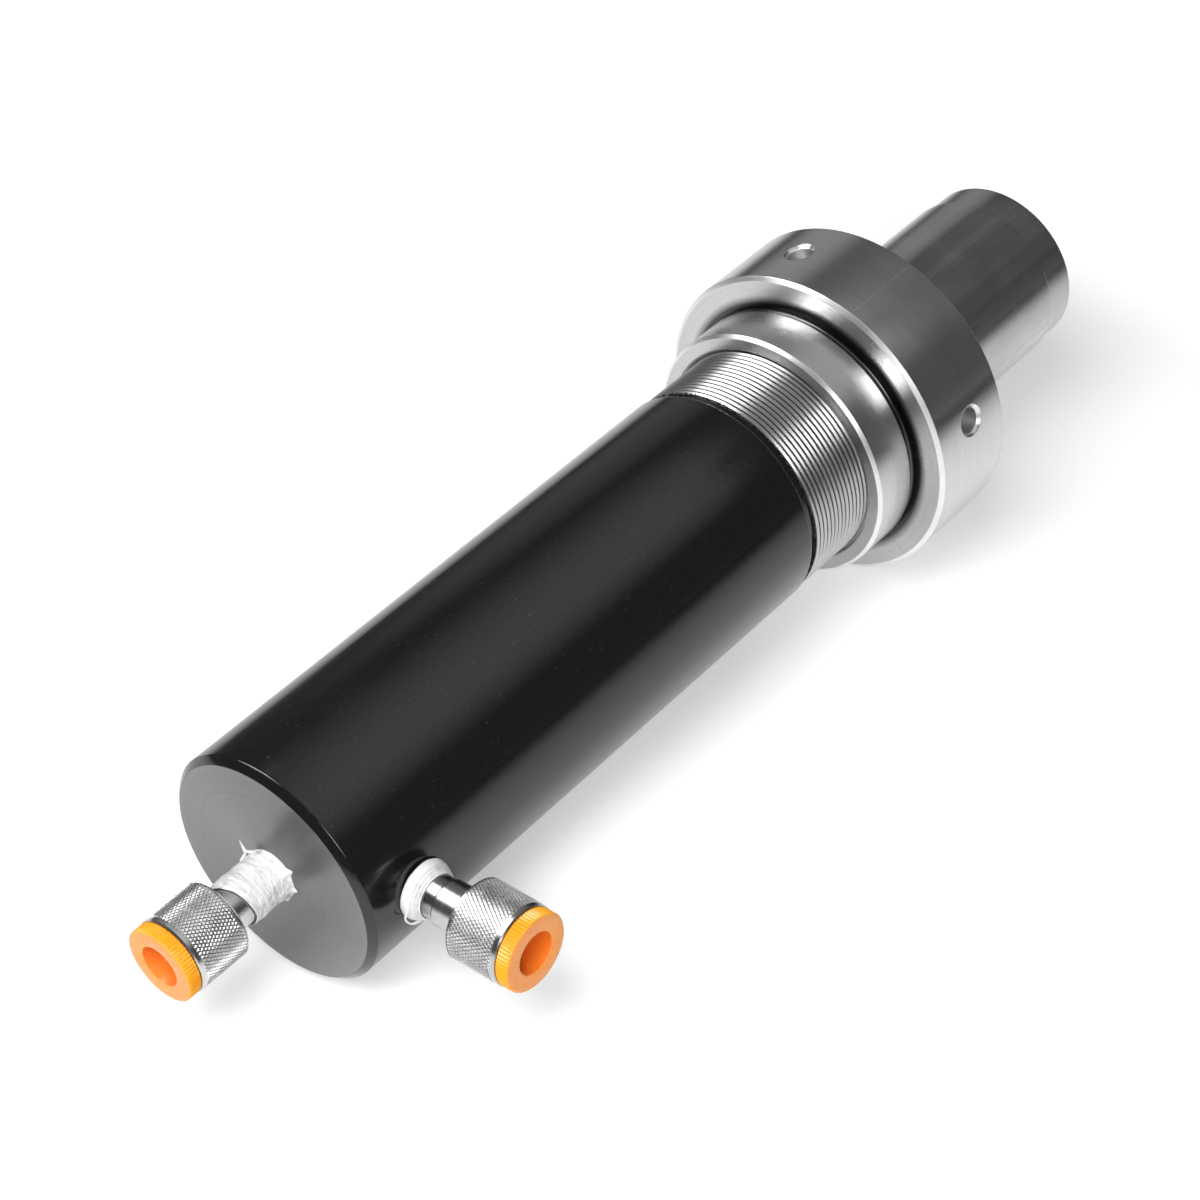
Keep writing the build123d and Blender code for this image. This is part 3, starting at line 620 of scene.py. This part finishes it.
# A screw thread: one pitch of its outline is carried round and along, then cut off flat at both ends
def turnThread(x0, x1, crest, root, pitch, inner, steps):
    turns = math.ceil((x1 - x0) / pitch) + 2
    bm = bmesh.new()
    toothShape = [(0.0, 0.0), (0.125, 0.59), (0.45, 1.0), (0.55, 1.0), (0.875, 0.59), (1.0, 0.0)]
    outline = [(pitch * along, root + (crest - root) * height) for along, height in toothShape]
    verts = [bm.verts.new(((x0 - pitch + u) * mm, 0.0, r * mm)) for u, r in outline]
    for first, second in zip(verts, verts[1:]):
        bm.edges.new((first, second))
    bmesh.ops.spin(bm, geom=bm.verts[:] + bm.edges[:], cent=(0, 0, 0), axis=(1, 0, 0),
                   angle=fullTurn, steps=steps, dvec=(pitch * mm / steps, 0, 0))
    oneTurn = bm.verts[:] + bm.edges[:] + bm.faces[:]
    for turn in range(1, turns):
        copied = bmesh.ops.duplicate(bm, geom=oneTurn)["geom"]
        bmesh.ops.translate(bm, vec=(pitch * mm * turn, 0, 0),
                            verts=[g for g in copied if isinstance(g, bmesh.types.BMVert)])
    bmesh.ops.remove_doubles(bm, verts=bm.verts, dist=weldDistance)
    for x, outward in ((x0, -1.0), (x1, 1.0)):
        bmesh.ops.bisect_plane(bm, geom=bm.verts[:] + bm.edges[:] + bm.faces[:], dist=1e-7,
                               plane_co=(x * mm, 0, 0), plane_no=(outward, 0, 0), clear_outer=True)
    rims = []
    for x in (x0, x1):
        fresh, rim = growEdges(bm, rimAt(bm, x, 1e-6))
        for v in fresh:
            radius = math.hypot(v.co.y, v.co.z)
            v.co.y *= inner * mm / radius
            v.co.z *= inner * mm / radius
        rims += rim
    bmesh.ops.bridge_loops(bm, edges=rims)
    return bm


# Barrel with its base cap: one painted shell, the bare base face and the bare thread end
def makeBarrel(s):
    faceDepth = 0.05
    bareFrom = 0.1
    step = s["radius"] - s["threadRadius"]
    core = s["threadRoot"] - s["coreDrop"]
    outline = [
        (s["capInnerX"], 0.0),
        (s["capInnerX"], s["boreRadius"]),
        (s["glandThreadX"], s["boreRadius"]),
        (s["glandThreadX"], s["glandThreadRadius"]),
        (s["endX"] - s["mouthChamfer"], s["glandThreadRadius"]),
        (s["endX"], s["glandThreadRadius"] + s["mouthChamfer"]),
        (s["endX"], core - s["endChamfer"]),
        (s["endX"] - s["endChamfer"], core),
        (s["runoutEndX"] + s["threadInset"], core),
        (s["runoutEndX"], s["runoutRadius"]),
        (s["paintEndX"], s["runoutRadius"]),
        (s["paintEndX"], s["threadRadius"]),
        (s["paintEndX"] - s["paintTaper"] * step, s["radius"]),
        (s["baseX"] + s["rimChamfer"], s["radius"]),
        (s["baseX"], s["radius"] - s["rimChamfer"]),
        (s["baseX"], 0.0),
    ]
    bm = turnProfile(outline, s["steps"], s["edgeRadius"])
    for face in bm.faces:
        middle = face.calc_center_median()
        if middle.x < (s["baseX"] + faceDepth) * mm:
            face.material_index = 1
        elif middle.x > (s["runoutEndX"] + bareFrom) * mm:
            face.material_index = 2
    finishPiece("barrelShell", bm, "barrel", [blackPaint, bareFace, threadSteel],
                replaced=("barrel", "base_cap", "weld_ring"))
    bm = turnThread(s["runoutEndX"] + s["threadGap"], s["endX"] - s["threadInset"], s["threadRadius"],
                    s["threadRoot"], s["threadPitch"], core - s["threadInset"], s["threadSteps"])
    finishPiece("barrelThread", bm, "barrel", [threadSteel], 25.0)


makeBarrel(barrelSizes)
print("barrel made")


# Where each coupler stands: its own X axis runs from the back of the collar outwards
def couplerPlace(side, s):
    if side == "base":
        return Matrix.Translation((s["baseCollarX"] * mm, 0, 0)) @ Matrix.Rotation(math.pi, 4, "Z")
    place = Matrix.Translation((s["sideX"] * mm, s["sideCollarY"] * mm, 0))
    return place @ Matrix.Rotation(-math.pi / 2, 4, "Z")


# Knurled sleeve: a grid turned on its corner is wrapped round, and each diamond is raised to a point
def knurlSleeve(x0, x1, radius, depth, around, inner):
    helixDegrees = 30.0
    gridSlack = 1e-4
    valley = radius - depth
    girth = fullTurn * valley
    width = girth / around
    length = x1 - x0
    rows = max(1, round(length * math.tan(math.radians(helixDegrees)) / width))
    tall = length / rows
    count = around + rows + 6
    bm = bmesh.new()
    bmesh.ops.create_grid(bm, x_segments=count, y_segments=count, size=0.5 * count)
    bmesh.ops.rotate(bm, verts=bm.verts, cent=(0, 0, 0), matrix=Matrix.Rotation(math.pi / 4, 3, "Z"))
    half = math.sqrt(0.5)
    bmesh.ops.scale(bm, vec=(half * tall, half * width, 1.0), verts=bm.verts)
    bmesh.ops.translate(bm, vec=(rows * tall / 2, around * width / 2, 0), verts=bm.verts)
    for place, normal in (((0, 0, 0), (-1, 0, 0)), ((length, 0, 0), (1, 0, 0))):
        bmesh.ops.bisect_plane(bm, geom=bm.verts[:] + bm.edges[:] + bm.faces[:], dist=gridSlack,
                               plane_co=place, plane_no=normal, clear_outer=True)
    beyond = [f for f in bm.faces
              if not -gridSlack <= f.calc_center_median().y - 0.01 * width < girth - gridSlack]
    bmesh.ops.delete(bm, geom=beyond, context="FACES")
    for v in bm.verts:
        turn = v.co.y / girth * fullTurn
        v.co = Vector(((x0 + v.co.x) * mm, valley * mm * math.sin(turn), valley * mm * math.cos(turn)))
    bmesh.ops.remove_doubles(bm, verts=bm.verts, dist=weldDistance)
    diamonds = bm.faces[:]
    rims = []
    for x in (x0, x1):
        fresh, rim = growEdges(bm, rimAt(bm, x, weldDistance))
        bmesh.ops.scale(bm, vec=(1.0, inner / valley, inner / valley), verts=fresh)
        rims += rim
    bmesh.ops.bridge_loops(bm, edges=rims)
    bmesh.ops.recalc_face_normals(bm, faces=bm.faces)
    # Whole diamonds rise to full depth, the ones cut at the ends to half of it
    inradius = width * tall / (2 * math.hypot(width, tall))
    for corners, inset, rise in ((4, 0.84, 1.0), (3, 0.4, 0.5)):
        chosen = [f for f in diamonds if f.is_valid and len(f.verts) == corners]
        bmesh.ops.inset_individual(bm, faces=chosen, thickness=inradius * inset * mm,
                                   depth=depth * rise * mm)
    return bm


# A ring that is carried from station to station; shape gives each point's place along X and its radius
def loftRing(stations, segments, shape):
    smallestRadius = 0.0004
    bm = bmesh.new()
    bmesh.ops.create_circle(bm, segments=segments, radius=1.0)
    bmesh.ops.rotate(bm, verts=bm.verts, cent=(0, 0, 0), matrix=Matrix.Rotation(math.pi / 2, 3, "Y"))
    ring = bm.verts[:]
    edges = bm.edges[:]
    for index, station in enumerate(stations):
        if index:
            ring, edges = growEdges(bm, edges)
        turns = {v: math.atan2(v.co.y, v.co.z) for v in ring}
        for v in ring:
            x, radius = shape(station, turns[v])
            radius = max(radius, smallestRadius)
            v.co = Vector((x * mm, radius * mm * math.sin(turns[v]), radius * mm * math.cos(turns[v])))
    return bm


def placePiece(bm, place):
    bmesh.ops.transform(bm, matrix=place, verts=bm.verts)
    return bm


# Collar: knurled outside, threaded inside for the plug or the hose
def makeCollar(side, s):
    place = couplerPlace(side, s)
    steel = fittingSteelSideShaded if side == "side" else fittingSteel
    knurl = knurlSteelSide if side == "side" else knurlSteel
    valley = s["radius"] - s["knurlDepth"]
    bore = s["threadRadius"] + s["threadClearance"]
    outline = [
        (0.0, s["neckRadius"]),
        (0.0, s["radius"] - s["backChamfer"]),
        (s["backChamfer"], s["radius"]),
        (s["knurlStart"], s["radius"]),
        (s["knurlStart"], valley - s["knurlSeat"]),
        (s["knurlEnd"], valley - s["knurlSeat"]),
        (s["knurlEnd"], s["radius"] - s["lipDrop"]),
        (s["length"] - s["frontChamfer"], s["radius"] - s["lipDrop"]),
        (s["length"], s["radius"] - s["frontDrop"]),
        (s["length"], bore + s["mouthDrop"]),
        (s["length"] - s["frontChamfer"], bore),
        (s["threadStart"], bore),
        (s["threadStart"], s["cavityRadius"]),
        (s["backWall"], s["cavityRadius"]),
        (s["backWall"], s["neckRadius"]),
        (0.0, s["neckRadius"]),
    ]
    body = side + "_collar"
    bm = placePiece(turnProfile(outline, s["steps"]), place)
    finishPiece(side + "CollarBody", bm, body, [steel], replaced=(body,))
    bm = knurlSleeve(s["knurlStart"], s["knurlEnd"], s["radius"], s["knurlDepth"], s["knurlsAround"],
                     valley - s["knurlSeat"] - 0.05)
    finishPiece(side + "CollarKnurl", placePiece(bm, place), body, [knurl], 20.0)
    bm = turnThread(s["threadStart"] + 0.1, s["length"] - s["frontDrop"], s["threadRadius"] + 0.05,
                    bore - 0.05, s["threadPitch"], bore + 0.2, s["threadSteps"])
    finishPiece(side + "CollarThread", placePiece(bm, place), body, [steel], 25.0)


plugSizes = {
    "innerX": 9.2,
    "faceX": 23.2,
    "flangeX": 18.7,
    "flangeRadius": 12.5,
    "stemRadius": 10.4,
    "stemRoot": 9.8,
    "holeRadius": 6.8,
    "holeBottomRadius": 6.3,
    "holeBottomX": 11.2,
    "ridges": 68,
    "ridgeDepth": 0.42,
    "threadInset": 0.6,
    "threadSeat": 0.3,
}


# Dust plug: a threaded stem, a flange with fine straight ridges and a blind hole in its face
def makePlug(side, s, p):
    place = couplerPlace(side, s)
    face = p["faceX"]
    rim = p["flangeRadius"]
    hole = p["holeRadius"]
    plastic = orangePlasticSide if side == "side" else orangePlastic
    # Each station: its place along X, its radius and how much of the ridges' depth it has
    stations = [
        (p["innerX"], 0.0, 0.0),
        (p["innerX"], p["stemRoot"] - 0.8, 0.0),
        (p["innerX"] + 0.6, p["stemRoot"] - 0.05, 0.0),
        (p["flangeX"], p["stemRoot"] - 0.05, 0.0),
        (p["flangeX"], rim - 0.7, 0.0),
        (p["flangeX"] + 0.1, rim - 0.2, 0.4),
        (p["flangeX"] + 0.35, rim, 1.0),
        (face - 0.42, rim, 1.0),
        (face - 0.2, rim - 0.12, 0.75),
        (face - 0.05, rim - 0.38, 0.25),
        (face, rim - 0.62, 0.0),
        (face, hole + 0.35, 0.0),
        (face - 0.08, hole + 0.12, 0.0),
        (face - 0.3, hole, 0.0),
        (p["holeBottomX"] + 0.5, p["holeBottomRadius"] + 0.02, 0.0),
        (p["holeBottomX"] + 0.12, p["holeBottomRadius"] - 0.15, 0.0),
        (p["holeBottomX"], p["holeBottomRadius"] - 0.55, 0.0),
        (p["holeBottomX"], 0.0, 0.0),
    ]

    def ridged(station, turn):
        groove = 0.5 - 0.5 * math.cos(turn * p["ridges"])
        return station[0], station[1] - p["ridgeDepth"] * station[2] * groove

    body = side + "_plug"
    bm = placePiece(loftRing(stations, p["ridges"] * 4, ridged), place)
    finishPiece(side + "DustPlug", bm, body, [plastic], 38.0,
                replaced=(side + "_dust_plug",))
    bm = turnThread(p["innerX"] + p["threadInset"], p["flangeX"] - p["threadInset"], p["stemRadius"],
                    p["stemRoot"], s["threadPitch"], p["stemRoot"] - p["threadSeat"], s["threadSteps"])
    finishPiece(side + "PlugThread", placePiece(bm, place), body, [plastic], 25.0)


for side in ("base", "side"):
    makeCollar(side, couplerSizes)
    makePlug(side, couplerSizes, plugSizes)
print("collars and plugs made")


# A value between given pairs, in a straight line from one to the next
def between(pairs, value):
    for (x0, y0), (x1, y1) in zip(pairs, pairs[1:]):
        if value <= x1:
            share = max(0.0, (value - x0) / (x1 - x0))
            return y0 + (y1 - y0) * share
    return pairs[-1][1]


# Creases: narrow ridges where a slow noise crosses zero
def creased(x, turn, seed, long, round):
    about = Vector((x * long, math.sin(turn) * round, math.cos(turn) * round + seed))
    return 1.0 - min(1.0, 5.0 * abs(noise.noise(about)))


# Thread tape, from the port outwards: wraps overlap, folds run across them and both edges are ragged
def tapeSkin(t, segments, mirrored):
    def folded(station, turn):
        degrees = math.degrees(turn)
        if mirrored:
            degrees = -degrees
        x = t["faceX"] + station * (between(t["edge"], degrees) - t["faceX"])
        wander = 0.3 * noise.noise(Vector((turn, x * 0.2, t["seed"])))
        wrap = (x * t["wrapsPerMm"] + turn / fullTurn + wander) % 1.0
        lump = noise.noise(Vector((x * 0.3, math.sin(turn) * 1.3, math.cos(turn) * 1.3 + t["seed"])))
        fold = max(creased(x, turn, t["seed"], 0.35, 1.5), 0.6 * creased(x, turn, t["seed"] + 4.0, 0.2, 2.6))
        loose = math.exp(-(x - t["faceX"]) / t["flareLength"])
        flare = between(t["flare"], degrees) - t["flareFrom"]
        rough = t["lump"] * lump + t["fold"] * fold + t["wrap"] * wrap
        radius = between(t["body"], x) + rough + flare * loose
        return x, radius

    stations = [index / (t["stations"] - 1) for index in range(t["stations"])]
    return loftRing(stations, segments, folded)


# A narrow strip of tape that follows a few given points
def tapeStrip(points, widths, lean):
    bm = bmesh.new()
    rows = []
    for index, (point, width) in enumerate(zip(points, widths)):
        here = Vector(point)
        ahead = Vector(points[min(index + 1, len(points) - 1)]) - Vector(points[max(index - 1, 0)])
        across = ahead.cross(Vector(lean)).normalized() * width * 0.5
        rows.append((bm.verts.new((here - across) * mm), bm.verts.new((here + across) * mm)))
    for first, second in zip(rows, rows[1:]):
        bm.faces.new((first[0], first[1], second[1], second[0]))
    return bm


def thicken(piece, thickness, offset, smooth=0):
    if smooth:
        rounding = piece.modifiers.new("rounding", "SUBSURF")
        rounding.levels = smooth
        rounding.render_levels = smooth
    wall = piece.modifiers.new("wall", "SOLIDIFY")
    wall.thickness = thickness * mm
    wall.offset = offset


# Turns are the row's own, in degrees from +Z towards +Y; x counts from the back of the collar
baseTape = {
    "faceX": -22.0,
    "edge": [(-180, -7.4), (-98, -7.7), (-65, -6.8), (-45, -6.3), (-18, -5.4), (15, -3.7), (30, -1.9),
             (150, -1.9), (172, -6.0), (180, -7.4)],
    "body": [(-22, 8.25), (-17, 8.05), (-13, 8.0), (-9, 8.15), (-5, 8.05), (-1.5, 7.9)],
    "flareFrom": 8.3,
    "flareLength": 1.0,
    "flare": [(-180, 9.2), (-151, 10.0), (-130, 9.0), (-112, 9.2), (-100, 10.3), (-92, 9.0), (-78, 8.9),
              (-66, 9.5), (-57, 11.8), (-49, 9.5), (-30, 9.3), (-12, 9.2), (21, 8.4), (60, 8.4), (120, 8.6),
              (180, 9.2)],
    "wrapsPerMm": 0.42,
    "wrap": 0.13,
    "fold": 0.16,
    "lump": 0.3,
    "stations": 90,
    "seed": 3.7,
}
sideTape = {
    "faceX": -20.0,
    "edge": [(-180, -14.3), (180, -14.3)],
    "body": [(-20.0, 9.0), (-19.5, 9.4), (-18.4, 9.35), (-17.3, 9.0), (-16.8, 8.85), (-16.65, 8.2),
             (-16.25, 8.1), (-16.1, 8.35), (-15.85, 8.3), (-15.75, 7.7), (-15.35, 7.65), (-15.25, 7.85),
             (-14.9, 7.8), (-14.75, 7.3), (-14.3, 7.1)],
    "flareFrom": 9.0,
    "flareLength": 0.6,
    "flare": [(-180, 9.0), (-90, 9.2), (-40, 9.0), (20, 9.2), (90, 9.0), (180, 9.0)],
    "wrapsPerMm": 0.9,
    "wrap": 0.12,
    "fold": 0.07,
    "lump": 0.08,
    "stations": 70,
    "seed": 9.2,
}
sideTapeLoop = {
    "points": [(-243.8, -42.4, 3.4), (-245.4, -42.4, 2.2), (-246.3, -42.5, 1.0), (-246.9, -42.5, -0.5),
               (-247.9, -42.5, -1.8), (-248.0, -42.5, -3.0), (-247.2, -42.5, -4.8), (-246.1, -42.5, -6.3),
               (-244.8, -42.6, -7.1), (-243.0, -42.7, -7.5), (-240.5, -43.2, -8.1), (-238.6, -43.6, -8.9)],
    "widths": [1.1, 0.6, 0.5, 0.45, 0.55, 0.6, 0.6, 0.55, 0.7, 0.9, 1.1, 1.4],
}
baseTapeTag = {
    "tip": [(-261.5, 8.6, 10.4), (-261.5, 8.0, 8.8), (-261.5, 7.3, 7.3), (-261.4, 6.7, 6.1)],
    "tipWidths": [0.25, 0.55, 0.9, 1.5],
    "right": [(-261.5, 7.0, 6.6), (-261.1, 5.2, 7.3), (-260.7, 2.9, 8.0)],
    "rightWidths": [1.0, 0.8, 1.1],
    "left": [(-261.4, 6.9, 6.3), (-262.4, 7.3, 4.9), (-264.0, 7.2, 4.0)],
    "leftWidths": [1.0, 0.75, 1.1],
}
towardsEye = (-0.55, -0.52, 0.65)


tapeWall = 0.12
loopWall = 0.15
tapeSegments = 220


def makeTapes(s):
    bm = placePiece(tapeSkin(baseTape, tapeSegments, True), couplerPlace("base", s))
    piece = finishPiece("baseTape", bm, "barrel", [whiteTape], 60.0,
                        replaced=("base_thread_tape",))
    thicken(piece, tapeWall, -1.0)
    bm = placePiece(tapeSkin(sideTape, tapeSegments, False), couplerPlace("side", s))
    piece = finishPiece("sideTape", bm, "barrel", [whiteTapeSide], 60.0,
                        replaced=("side_thread_tape",))
    thicken(piece, tapeWall, -1.0)
    bm = tapeStrip(sideTapeLoop["points"], sideTapeLoop["widths"], towardsEye)
    piece = finishPiece("sideTapeLoop", bm, "barrel", [whiteTape], 60.0)
    thicken(piece, loopWall, 0.0, 2)
    for part in ("tip", "right", "left"):
        bm = tapeStrip(baseTapeTag[part], baseTapeTag[part + "Widths"], towardsEye)
        piece = finishPiece("baseTapeTag" + part.title(), bm, "barrel", [whiteTape], 60.0)
        thicken(piece, tapeWall, 0.0, 2)


makeTapes(couplerSizes)
print("tapes made")


# The CAD solids that stay get their finish here
finishOfSlot = {
    "black_paint": blackPaint,
    "turned_steel": nutSteel,
    "ram_steel": ramSteel,
    "fitting_steel": fittingSteel,
    "orange_plastic": orangePlastic,
    "white_tape": whiteTape,
    "seal_rubber": sealRubber,
    "guide_plastic": guidePlastic,
}
sideFinishOfSlot = {
    "fitting_steel": fittingSteelSideShaded,
    "white_tape": whiteTapeSide,
}
for entry in frame["record"]["subparts"]:
    solid = frame["nodes"][entry["node"]]
    finish = finishOfSlot[entry["material_slot"]]
    if entry["node"].startswith("side_"):
        finish = sideFinishOfSlot.get(entry["material_slot"], finish)
    for slot in solid.material_slots:
        slot.material = finish


# Floor: the barrel's base edge and the nut's rim both rest on it
floorNormal = Vector((0.0645, -0.0383, 0.9972)).normalized()
floorDrop = 0.0569
floorSize = 12.0
paper = {
    "centreX": -0.09,
    "halfLength": 0.2,
    "farSideShare": 0.35,
    "fade": [(0.12, 1.0), (0.26, 0.75), (0.42, 0.42), (0.6, 0.25), (1.0, 0.12)],
    "dark": 0.05,
    "pale": 0.8,
    "cameraGlow": (0.42, 1.2),
    "cameraGlowReach": (0.08, 0.28),
    "glossGlow": 0.35,
}


def makeFloor():
    bm = bmesh.new()
    bmesh.ops.create_grid(bm, x_segments=1, y_segments=1, size=floorSize)
    turn = Vector((0, 0, 1)).rotation_difference(floorNormal).to_matrix()
    bmesh.ops.rotate(bm, verts=bm.verts, cent=(0, 0, 0), matrix=turn)
    bmesh.ops.translate(bm, verts=bm.verts, vec=-floorNormal * floorDrop)
    material, tree, shader, where = newMaterial("floorWhite")
    floor = meshObject("floor", bm, [material])
    shader.inputs["Roughness"].default_value = 0.9
    shader.inputs["Specular IOR Level"].default_value = 0.0
    # The paper greys away from the object; the camera alone sees it white throughout
    split = addNode(tree, "ShaderNodeSeparateXYZ")
    tree.links.new(where, split.inputs[0])
    fromCentre = mathNode(tree, "ABSOLUTE", mathNode(tree, "SUBTRACT", split.outputs[0], paper["centreX"]))
    beyond = mathNode(tree, "MAXIMUM", mathNode(tree, "SUBTRACT", fromCentre, paper["halfLength"]), 0.0)
    sideStep = mathNode(tree, "MAXIMUM", times(tree, split.outputs[1], -1.0),
                        times(tree, split.outputs[1], paper["farSideShare"]))
    away = mathNode(tree, "SQRT", mathNode(tree, "ADD", times(tree, beyond, beyond),
                                           times(tree, sideStep, sideStep)))
    near = greyRamp(tree, away, paper["fade"])
    tree.links.new(blend(tree, near, grey(paper["dark"]), grey(paper["pale"])), shader.inputs["Base Color"])
    rays = addNode(tree, "ShaderNodeLightPath")
    outward = mathNode(tree, "MAXIMUM", beyond, mathNode(tree, "ABSOLUTE", split.outputs[1]))
    forCamera = times(tree, rays.outputs["Is Camera Ray"],
                      spread(tree, outward, *paper["cameraGlow"], *paper["cameraGlowReach"]))
    forGloss = times(tree, rays.outputs["Is Glossy Ray"], times(tree, near, paper["glossGlow"]))
    shader.inputs["Emission Color"].default_value = (1.0, 1.0, 1.0, 1.0)
    tree.links.new(mathNode(tree, "ADD", forCamera, forGloss), shader.inputs["Emission Strength"])


makeFloor()


# World: white to the camera past the floor; the metal mirrors a dark ceiling with a paler far side
studio = {
    "sky": [(0.0, 0.9), (0.49, 0.2), (0.52, 0.13), (0.58, 0.1), (0.75, 0.1), (0.9, 0.13), (1.0, 0.18)],
    "farSide": Vector((0.65, 0.70, 0.32)).normalized(),
    "farSideGlow": 0.22,
    "farSideReach": (0.93, 0.998),
}


def makeWorld():
    world = bpy.data.worlds.new("studio")
    bpy.context.scene.world = world
    world.use_nodes = True
    tree = world.node_tree
    background = tree.nodes["Background"]
    where = addNode(tree, "ShaderNodeTexCoord").outputs["Generated"]

    def towards(direction):
        dot = addNode(tree, "ShaderNodeVectorMath", operation="DOT_PRODUCT")
        dot.inputs[1].default_value = direction
        tree.links.new(where, dot.inputs[0])
        return dot.outputs["Value"]

    half = mathNode(tree, "MULTIPLY_ADD", towards(floorNormal), 0.5, 0.5)
    glow = spread(tree, towards(studio["farSide"]), 0.0, studio["farSideGlow"],
                  *studio["farSideReach"], True)
    total = mathNode(tree, "ADD", greyRamp(tree, half, studio["sky"]), glow)
    rays = addNode(tree, "ShaderNodeLightPath")
    shown = mathNode(tree, "MAXIMUM", rays.outputs["Is Camera Ray"], total)
    tree.links.new(shown, background.inputs["Strength"])
    background.inputs["Color"].default_value = (1.0, 1.0, 1.0, 1.0)


makeWorld()


lampAim = Vector((-0.05, 0, 0))


def addLamp(name, spot, size, power, gloss=True, diffuse=True):
    lamp = bpy.data.lights.new(name, "AREA")
    lamp.shape = "SQUARE"
    lamp.size = size
    lamp.energy = power
    holder = bpy.data.objects.new(name, lamp)
    holder.location = spot
    holder.rotation_euler = (lampAim - Vector(spot)).to_track_quat("-Z", "Y").to_euler()
    holder.visible_camera = False
    holder.visible_diffuse = diffuse
    holder.visible_glossy = gloss
    bpy.context.collection.objects.link(holder)


panelSizes = {
    "halfSize": 0.6,
    "centre": (0.2, -0.185, 0.5),
    "strength": 0.66,
    "fadeWidth": 0.58,
    "rise": (-0.35, -0.1),
    "fall": (0.345, 0.37),
    "slantFromY": -0.16,
    "slant": -0.49,
}


# A dim panel above the barrel, seen in gloss only; it fades out towards its sides and ends before the nut
def makePanel(p):
    bm = bmesh.new()
    bmesh.ops.create_grid(bm, x_segments=1, y_segments=1, size=1.0)
    bmesh.ops.scale(bm, vec=(p["halfSize"], p["halfSize"], 1.0), verts=bm.verts)
    bmesh.ops.translate(bm, vec=p["centre"], verts=bm.verts)
    material, tree, shader, where = newMaterial("panelGlow")
    panel = meshObject("softPanel", bm, [material])
    tree.nodes.remove(shader)
    split = addNode(tree, "ShaderNodeSeparateXYZ")
    tree.links.new(where, split.inputs[0])
    aside = mathNode(tree, "ABSOLUTE", mathNode(tree, "SUBTRACT", split.outputs[1], p["centre"][1]))
    soft = spread(tree, aside, p["strength"], 0.0, 0.0, p["fadeWidth"], True)
    nearSide = mathNode(tree, "MULTIPLY_ADD", split.outputs[1], -1.0, p["slantFromY"])
    nearSide = mathNode(tree, "MAXIMUM", nearSide, 0.0)
    slanted = mathNode(tree, "MULTIPLY_ADD", nearSide, p["slant"], split.outputs[0])
    reach = times(tree, spread(tree, split.outputs[0], 0.0, 1.0, *p["rise"]),
                  spread(tree, slanted, 1.0, 0.0, *p["fall"]))
    clear = addNode(tree, "ShaderNodeBsdfTransparent")
    light = addNode(tree, "ShaderNodeEmission")
    tree.links.new(times(tree, soft, reach), light.inputs["Strength"])
    both = addNode(tree, "ShaderNodeAddShader")
    tree.links.new(clear.outputs[0], both.inputs[0])
    tree.links.new(light.outputs[0], both.inputs[1])
    tree.links.new(both.outputs[0], tree.nodes["Material Output"].inputs["Surface"])
    panel.visible_camera = False
    panel.visible_diffuse = False
    panel.visible_shadow = False


makePanel(panelSizes)

# Key high behind the barrel's far side, fill beside the camera, and a sky lamp that throws the shadows
addLamp("keyLamp", (-0.46, 0.70, 1.05), 0.85, 16.0, diffuse=False)
addLamp("fillLamp", (-0.92, -0.82, 0.66), 0.55, 6.0)
addLamp("skyLamp", (-0.78, -0.2, 1.06), 0.75, 16.0, gloss=False)

# Camera at the photograph's view
eye = {
    "lens": 86.54,
    "sensorWidth": 36.0,
    "place": (-0.62099, -0.48006, 0.59708),
    "right": (0.63737, -0.76731, -0.07069),
    "up": (0.53461, 0.37427, 0.75771),
    "back": (-0.55494, -0.52073, 0.64875),
}
camera = bpy.data.objects.new("camera", bpy.data.cameras.new("camera"))
camera.data.lens = eye["lens"]
camera.data.sensor_width = eye["sensorWidth"]
camera.data.clip_start = 0.01
camera.data.clip_end = 100.0
turn = Matrix((eye["right"], eye["up"], eye["back"])).transposed().to_4x4()
camera.matrix_world = Matrix.Translation(eye["place"]) @ turn
bpy.context.collection.objects.link(camera)
bpy.context.scene.camera = camera
bpy.context.scene.view_settings.view_transform = "Standard"

print("scene ready")
